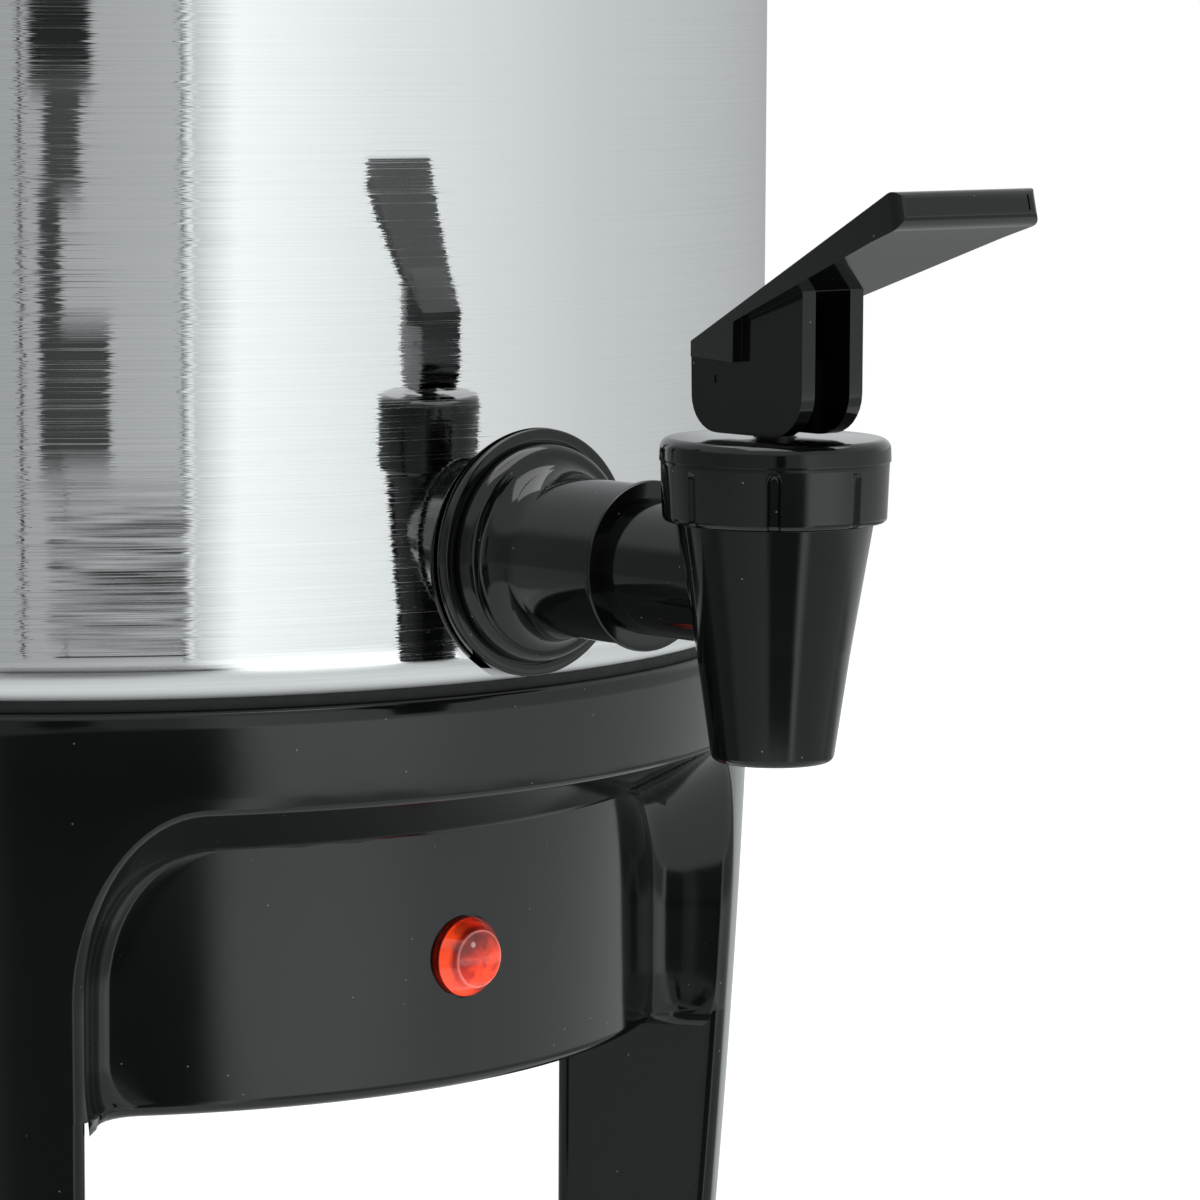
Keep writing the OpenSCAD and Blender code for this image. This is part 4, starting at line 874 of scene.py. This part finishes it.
def make_lid():
    """Domed sheet with a flat rim and a skirt that stands inside the tank."""
    dome, r, skirt, t, low = 20.0, 127.5, 120.70, SHEET, LID_LOW
    foot = skirt - 12.0
    below = [(foot * u / 30.0, low + (dome - t) * (1 - (u / 30.0) ** 2)) for u in range(29, 1, -1)]
    above = [(foot * u / 30.0, low + t + (dome - t) * (1 - (u / 30.0) ** 2)) for u in range(2, 30)]
    outline = rounded(
        above + [(foot, low + t, 2.0), (r, low + t, 0.45), (r, low, 0.45), (skirt, low, 0.5),
                 (skirt, low - 13.8, 0.3), (skirt - t, low - 13.8, 0.3), (skirt - t, low, 0.5),
                 (foot, low, 1.0)] + below, 4)
    outline = [(2.3, low + dome)] + outline + [(2.3, low + dome - t), (2.3, low + dome)]
    return turned("lid_shell", outline, 240, angle=40)


def make_knob():
    """Round grip on a waisted foot, bored for its screw."""
    bore, floor, top = 2.1, 15, 30
    outline = rounded([(bore, 0), (13, 0, 0.5), (13, 2.2, 0.8), (9, 4.2, 2.0), (9, 8.4, 1.6),
                       (21.8, 8.6, 3.6), (22, top, 9.5), (0, top)], 10)
    outline += [(0, floor), (bore, floor), (bore, 0)]
    return turned("lid_knob_grip", [(r, KNOB_LOW + z) for r, z in outline], 120)


def make_handle(name, side):
    """Bowed grip on two posts. The side is 1 on the right and -1 on the left."""
    x0, x1, y1, r, inner_r, deep, wide = 119.13, 168.2, 53.0, 20.0, 9.0, 15.0, 14.0
    half = rounded([(x0, y1), (x1, y1, r), (x1, 0)], 14)[:-1]
    gap = rounded([(x1 - deep, 0), (x1 - deep, y1 - wide, inner_r), (x0, y1 - wide)], 10)[1:]
    half += [(x, -y) for x, y in reversed(half)]
    gap = [(x, -y) for x, y in reversed(gap)] + gap
    grip = start_point(name)
    draw_line([(side * x * MM, y * MM, HANDLE_LOW * MM) for x, y in half + gap])
    ops.mesh.select_all(action="SELECT")
    ops.mesh.edge_face_add()
    ops.mesh.extrude_region_move(TRANSFORM_OT_translate={"value": (0, 0, HANDLE_H * MM)})
    tidy(grip)
    soften(grip, 3.6, 6, 50)
    return tidy(grip, 30, 1e-7)


# ---- pilot light ----

def make_lens():
    """Hollow jewel: a low cone with a slightly domed front."""
    back, front = PANEL_R - 9.0, PANEL_R + 3.75
    outline = [(back, 3.7), (back, 4.9)] + rounded([
        (back, 4.9), (PANEL_R - 0.3, 4.9), (PANEL_R - 0.3, 6.6, 0.15), (PANEL_R + 0.9, 6.6, 0.35),
        (PANEL_R + 3.6, 4.75, 0.4), (front, 4.2), (front, 4.1)], 5)[1:-2]
    outline += [(PANEL_R + 4.25 - 0.5 * (r / 4.3) ** 2, r)
                for r in (4.2, 3.6, 2.8, 2.0, 1.2, 0.5, 0.0)]
    outline += [(PANEL_R + 1.3, 0.0), (PANEL_R + 1.3, 2.2), (PANEL_R + 0.7, 3.7), (back, 3.7)]
    return turned_forward("pilot_dome", outline, LIGHT_Z, 96, 30)


# ---- studio ----

CAMERA_BEARING = -36.865    # the camera stands left of the tap, in degrees

# Brightness round the urn, as (bearing, brightness): a dim room to the left, then a bright
# window wall that fades round behind. Bearing 0 points at the camera.
ROOM = ((-180, 0.30), (-110, 0.24), (-60, 0.26), (-22, 0.34), (17.0, 0.46), (20.5, 0.74),
        (25, 1.04), (50, 0.84), (90, 0.63), (180, 0.38))

# What stands in the room: bearings from and to with how soft their ends are, then the same for
# its rise above the horizon, then its brightness. A later one covers an earlier one.
THINGS = (
    (-7.0, 2.6, 0.7, -0.9, 14.0, 0.25, 0.02),           # camera
    (-4.8, 0.8, 0.5, -2.1, -0.7, 0.3, 0.06),            # its grip
    (-5.6, -2.3, 0.4, -5.2, -1.9, 0.3, 0.05),           # arm
    (-3.0, 5.2, 0.4, -5.1, -3.5, 0.25, 0.05),           # clamp
    (-8.7, -8.2, 0.12, -7.6, 14.0, 0.3, 0.05),          # stand
    (16.4, 16.9, 0.12, -8.0, 14.0, 0.3, 0.22),          # window frame, dark and pale
    (17.4, 18.3, 0.12, -8.0, 14.0, 0.3, 0.80),
    (-2.1, -1.6, 0.12, -7.6, -5.3, 0.3, 0.08),          # shelf's post
    (-4.0, 17.0, 0.5, -7.62, -7.48, 0.04, 0.03),        # shelf's edge
    (29.0, 60.0, 14.0, -12.8, -7.9, 0.5, 1.5),          # window sill
    (-15.0, 25.0, 5.0, -29.0, -8.5, 0.3, 0.09),         # dark far side of the table
    (-15.0, 28.0, 8.0, -13.6, -11.8, 0.15, 0.0),        # table's edge
    (33.0, 100.0, 6.0, -29.0, -14.5, 1.5, 0.5),         # floor before the window
    (-179.0, -75.0, 8.0, -29.0, -14.5, 1.5, 0.16),      # floor to the left and behind
    (100.0, 400.0, 12.0, -29.0, -14.5, 1.5, 0.33),
    (120.0, 400.0, 12.0, 1.5, 25.0, 1.0, 0.8),          # pale wall behind
    (-400.0, 400.0, 1.0, 25.0, 91.0, 6.0, 0.75),        # ceiling
    (-400.0, 400.0, 1.0, -91.0, -30.0, 2.0, 0.85))      # white table close by


def make_camera():
    data = bpy.data.cameras.new("studio_camera")
    data.lens, data.sensor_width = 152.214, 36.0
    data.clip_start, data.clip_end = 0.05, 20.0
    camera = bpy.data.objects.new("studio_camera", data)
    scene.collection.objects.link(camera)
    yaw, pitch, roll = (radians(a) for a in (5.9186, 6.6029, 0.2828))
    ahead = Vector((sin(yaw) * cos(pitch), cos(yaw) * cos(pitch), -sin(pitch)))
    right = Vector((cos(yaw), -sin(yaw), 0))
    up = right.cross(ahead)
    right, up = right * cos(roll) + up * sin(roll), up * cos(roll) - right * sin(roll)
    turn = Matrix((right, up, -ahead)).transposed()
    swing = Matrix.Rotation(radians(CAMERA_BEARING), 3, "Z")
    stand = Matrix.Translation((-0.54296, -0.72406, 0.23176))
    camera.matrix_world = stand @ (swing @ turn).to_4x4()
    scene.camera = camera


class Backdrop(Nodes):
    """The studio's surroundings, painted by bearing and rise."""

    def __init__(self):
        world = bpy.data.worlds.new("studio")
        world.use_nodes = True
        scene.world = world
        self.tree = world.node_tree
        self.tree.nodes.clear()
        way = self.node("ShaderNodeTexCoord").outputs["Generated"]
        x, y, z = self.node("ShaderNodeSeparateXYZ", {0: way}).outputs
        bearing = self.sums("ARCTAN2", x, self.sums("MULTIPLY", y, -1.0))
        self.turn = self.sums("FRACT", self.sums(
            "ADD", self.sums("DIVIDE", bearing, 2 * pi), 0.5 - CAMERA_BEARING / 360))
        self.bearing = self.sums("SUBTRACT", self.sums("MULTIPLY", self.turn, 360.0), 180.0)
        self.rise = self.sums("DEGREES", self.sums("ARCSINE", z))

    def ramp(self, value, stops):
        n = self.node("ShaderNodeValToRGB", {0: value})
        marks = n.color_ramp.elements
        for k in range(2, len(stops)):
            marks.new(k / len(stops))
        for k, (place, tone) in enumerate(stops):
            marks[k].position = place
            marks[k].color = (tone, tone, tone, 1)
        return n.outputs[0]

    def step(self, value, at, soft):
        return self.band(value, at - soft, at + soft, 0.0, 1.0, interpolation_type="SMOOTHSTEP")

    def between(self, value, low, high, soft):
        return self.sums("SUBTRACT", self.step(value, low, soft), self.step(value, high, soft))

    def patch(self, left, right, soft, low, high, blur):
        """1 inside a patch of the surroundings and 0 outside it."""
        return self.sums("MULTIPLY", self.between(self.bearing, left, right, soft),
                         self.between(self.rise, low, high, blur))

    def cover(self, tone, patch, brightness):
        """Lays a new brightness over the one below, where the patch is 1."""
        return self.sums("ADD", self.sums("MULTIPLY", tone, self.sums("SUBTRACT", 1.0, patch)),
                         self.sums("MULTIPLY", patch, brightness))


def make_surroundings():
    """The room that the tank, base and tap reflect. The camera itself sees plain white."""
    room = Backdrop()
    tone = room.ramp(room.turn, [((bearing + 180) / 360.0, v) for bearing, v in ROOM])
    low_light = room.sums("MULTIPLY", 0.45, room.step(room.rise, -8.3, -0.4))
    tone = room.sums("MULTIPLY", tone, room.sums("ADD", 1.0, low_light))
    for *where, brightness in THINGS:
        tone = room.cover(tone, room.patch(*where), brightness)
    # bottles on the shelf: level streaks
    along = room.sums("MULTIPLY", room.bearing, 0.04)
    up = room.sums("MULTIPLY", room.rise, 38.0)
    place = room.node("ShaderNodeCombineXYZ", {0: along, 1: up}).outputs[0]
    streaks = room.node("ShaderNodeTexNoise", {0: place, "Scale": 1.0}).outputs[0]
    bottles = room.band(streaks, 0.44, 0.54, 0.02, 0.46)
    tone = room.cover(tone, room.patch(-4.5, 17.2, 0.9, -7.2, -5.5, 0.5), bottles)
    seen = room.node("ShaderNodeLightPath").outputs["Is Camera Ray"]
    strength = room.node("ShaderNodeMix", {0: seen, 2: tone, 3: 1.0}).outputs[0]
    colour = room.node("ShaderNodeMix", {0: seen, 6: (0.955, 0.995, 1.0, 1), 7: (1, 1, 1, 1)},
                       data_type="RGBA").outputs[2]
    back = room.node("ShaderNodeBackground", {0: colour, 1: strength}).outputs[0]
    room.node("ShaderNodeOutputWorld", {0: back})


def make_studio():
    """White surroundings, a pale floor and one soft light overhead."""
    scene.view_settings.view_transform = "Standard"
    scene.view_settings.look = "None"
    make_surroundings()

    let_go()
    ops.mesh.primitive_circle_add(vertices=128, radius=0.95, fill_type="NGON", location=(0, 0, 0))
    floor = bpy.context.object
    floor.name = "studio_floor"
    pale = Finish("pale_floor", Base_Color=(0.25, 0.25, 0.25), Roughness=0.9)
    pale.shader.inputs["Emission Color"].default_value = (1, 1, 1, 1)
    pale.shader.inputs["Emission Strength"].default_value = 0.9
    dress(floor, pale.material)
    floor.visible_glossy = False

    light = bpy.data.lights.new("overhead", "AREA")
    light.shape = "SQUARE"
    light.size = 1.4
    light.energy = 14
    overhead = bpy.data.objects.new("overhead", light)
    overhead.location = (0.2, -0.2, 1.6)
    aim = Vector((0, 0, 0.2)) - overhead.location
    overhead.rotation_euler = aim.to_track_quat("-Z", "Y").to_euler()
    scene.collection.objects.link(overhead)


def main():
    """Sets the studio, gives every node its finish, and fits the finer pieces."""
    make_camera()
    make_studio()
    aluminium = rolled_aluminium()
    base_black = moulded_black("base_black", 0.0035, 0.11)
    tap_black = moulded_black("tap_black", 0.003, 0.09)
    steel = brushed("satin_steel", (0.62, 0.62, 0.63), 0.28, (900, 900, 60))
    zinc = brushed("zinc_plate", (0.55, 0.56, 0.58), 0.35, (300, 300, 300))
    mica = brushed("heater_band", (0.42, 0.33, 0.22), 0.45, (80, 80, 900))
    sheath = brushed("heater_sheath", (0.16, 0.15, 0.15), 0.5, (500, 500, 500))
    matt_black = grained("matt_black_plastic", (0.012, 0.012, 0.013), 0.38)
    ivory = grained("ivory_plastic", (0.75, 0.72, 0.64), 0.4)
    grey_rubber = grained("grey_rubber", (0.12, 0.12, 0.12), 0.7, 500.0)
    black_rubber = grained("black_rubber", (0.012, 0.012, 0.012), 0.65, 500.0)
    silicone = grained("silicone", (0.72, 0.72, 0.70), 0.45, 300.0, Subsurface_Weight=0.2)
    bulb = grained("neon_bulb", (0.80, 0.55, 0.38), 0.25, 300.0)
    sleeve = grained("wire_sleeve", (0.45, 0.05, 0.035), 0.55, 700.0)
    lens = amber_lens()
    by_slot = {
        "tank": aluminium, "steel": steel, "zinc": zinc, "copper_band": mica, "element": sheath,
        "black_gloss": tap_black, "black_matte": matt_black, "white_plastic": ivory,
        "grey_rubber": grey_rubber, "black_rubber": black_rubber, "silicone": silicone,
        "lens": lens, "lamp": bulb, "wire": sleeve}
    slots = {s["node"]: s["material_slot"] for s in frame["record"]["subparts"]}
    for name, node in frame["nodes"].items():
        dress(node, by_slot[slots[name]])

    fit(make_tank(), "housing", aluminium, "tank", "tank")
    fit(make_base(), "housing", base_black, "black_gloss", "base")
    fit(make_escutcheon(), "housing", tap_black, "black_gloss", "escutcheon")
    fit(make_spout(), "housing", tap_black, "black_gloss", "spout_body")
    fit(make_bonnet(), "housing", tap_black, "black_gloss", "bonnet")
    fit(make_lever(), "lever", tap_black, "black_gloss", "lever")
    fit(make_lens(), "housing", lens, "lens", "pilot_lens")
    spring = fit(make_spring(), "housing", steel, slots["tap_spring"], "tap_spring")
    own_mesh(spring)
    fit(make_lid(), "lid", aluminium, slots["lid"], "lid")
    fit(make_knob(), "lid", matt_black, slots["lid_knob"], "lid_knob")
    for name, side in (("right_handle", 1), ("left_handle", -1)):
        fit(make_handle(name + "_grip", side), "housing", matt_black, slots[name], name)


main()
let_go()
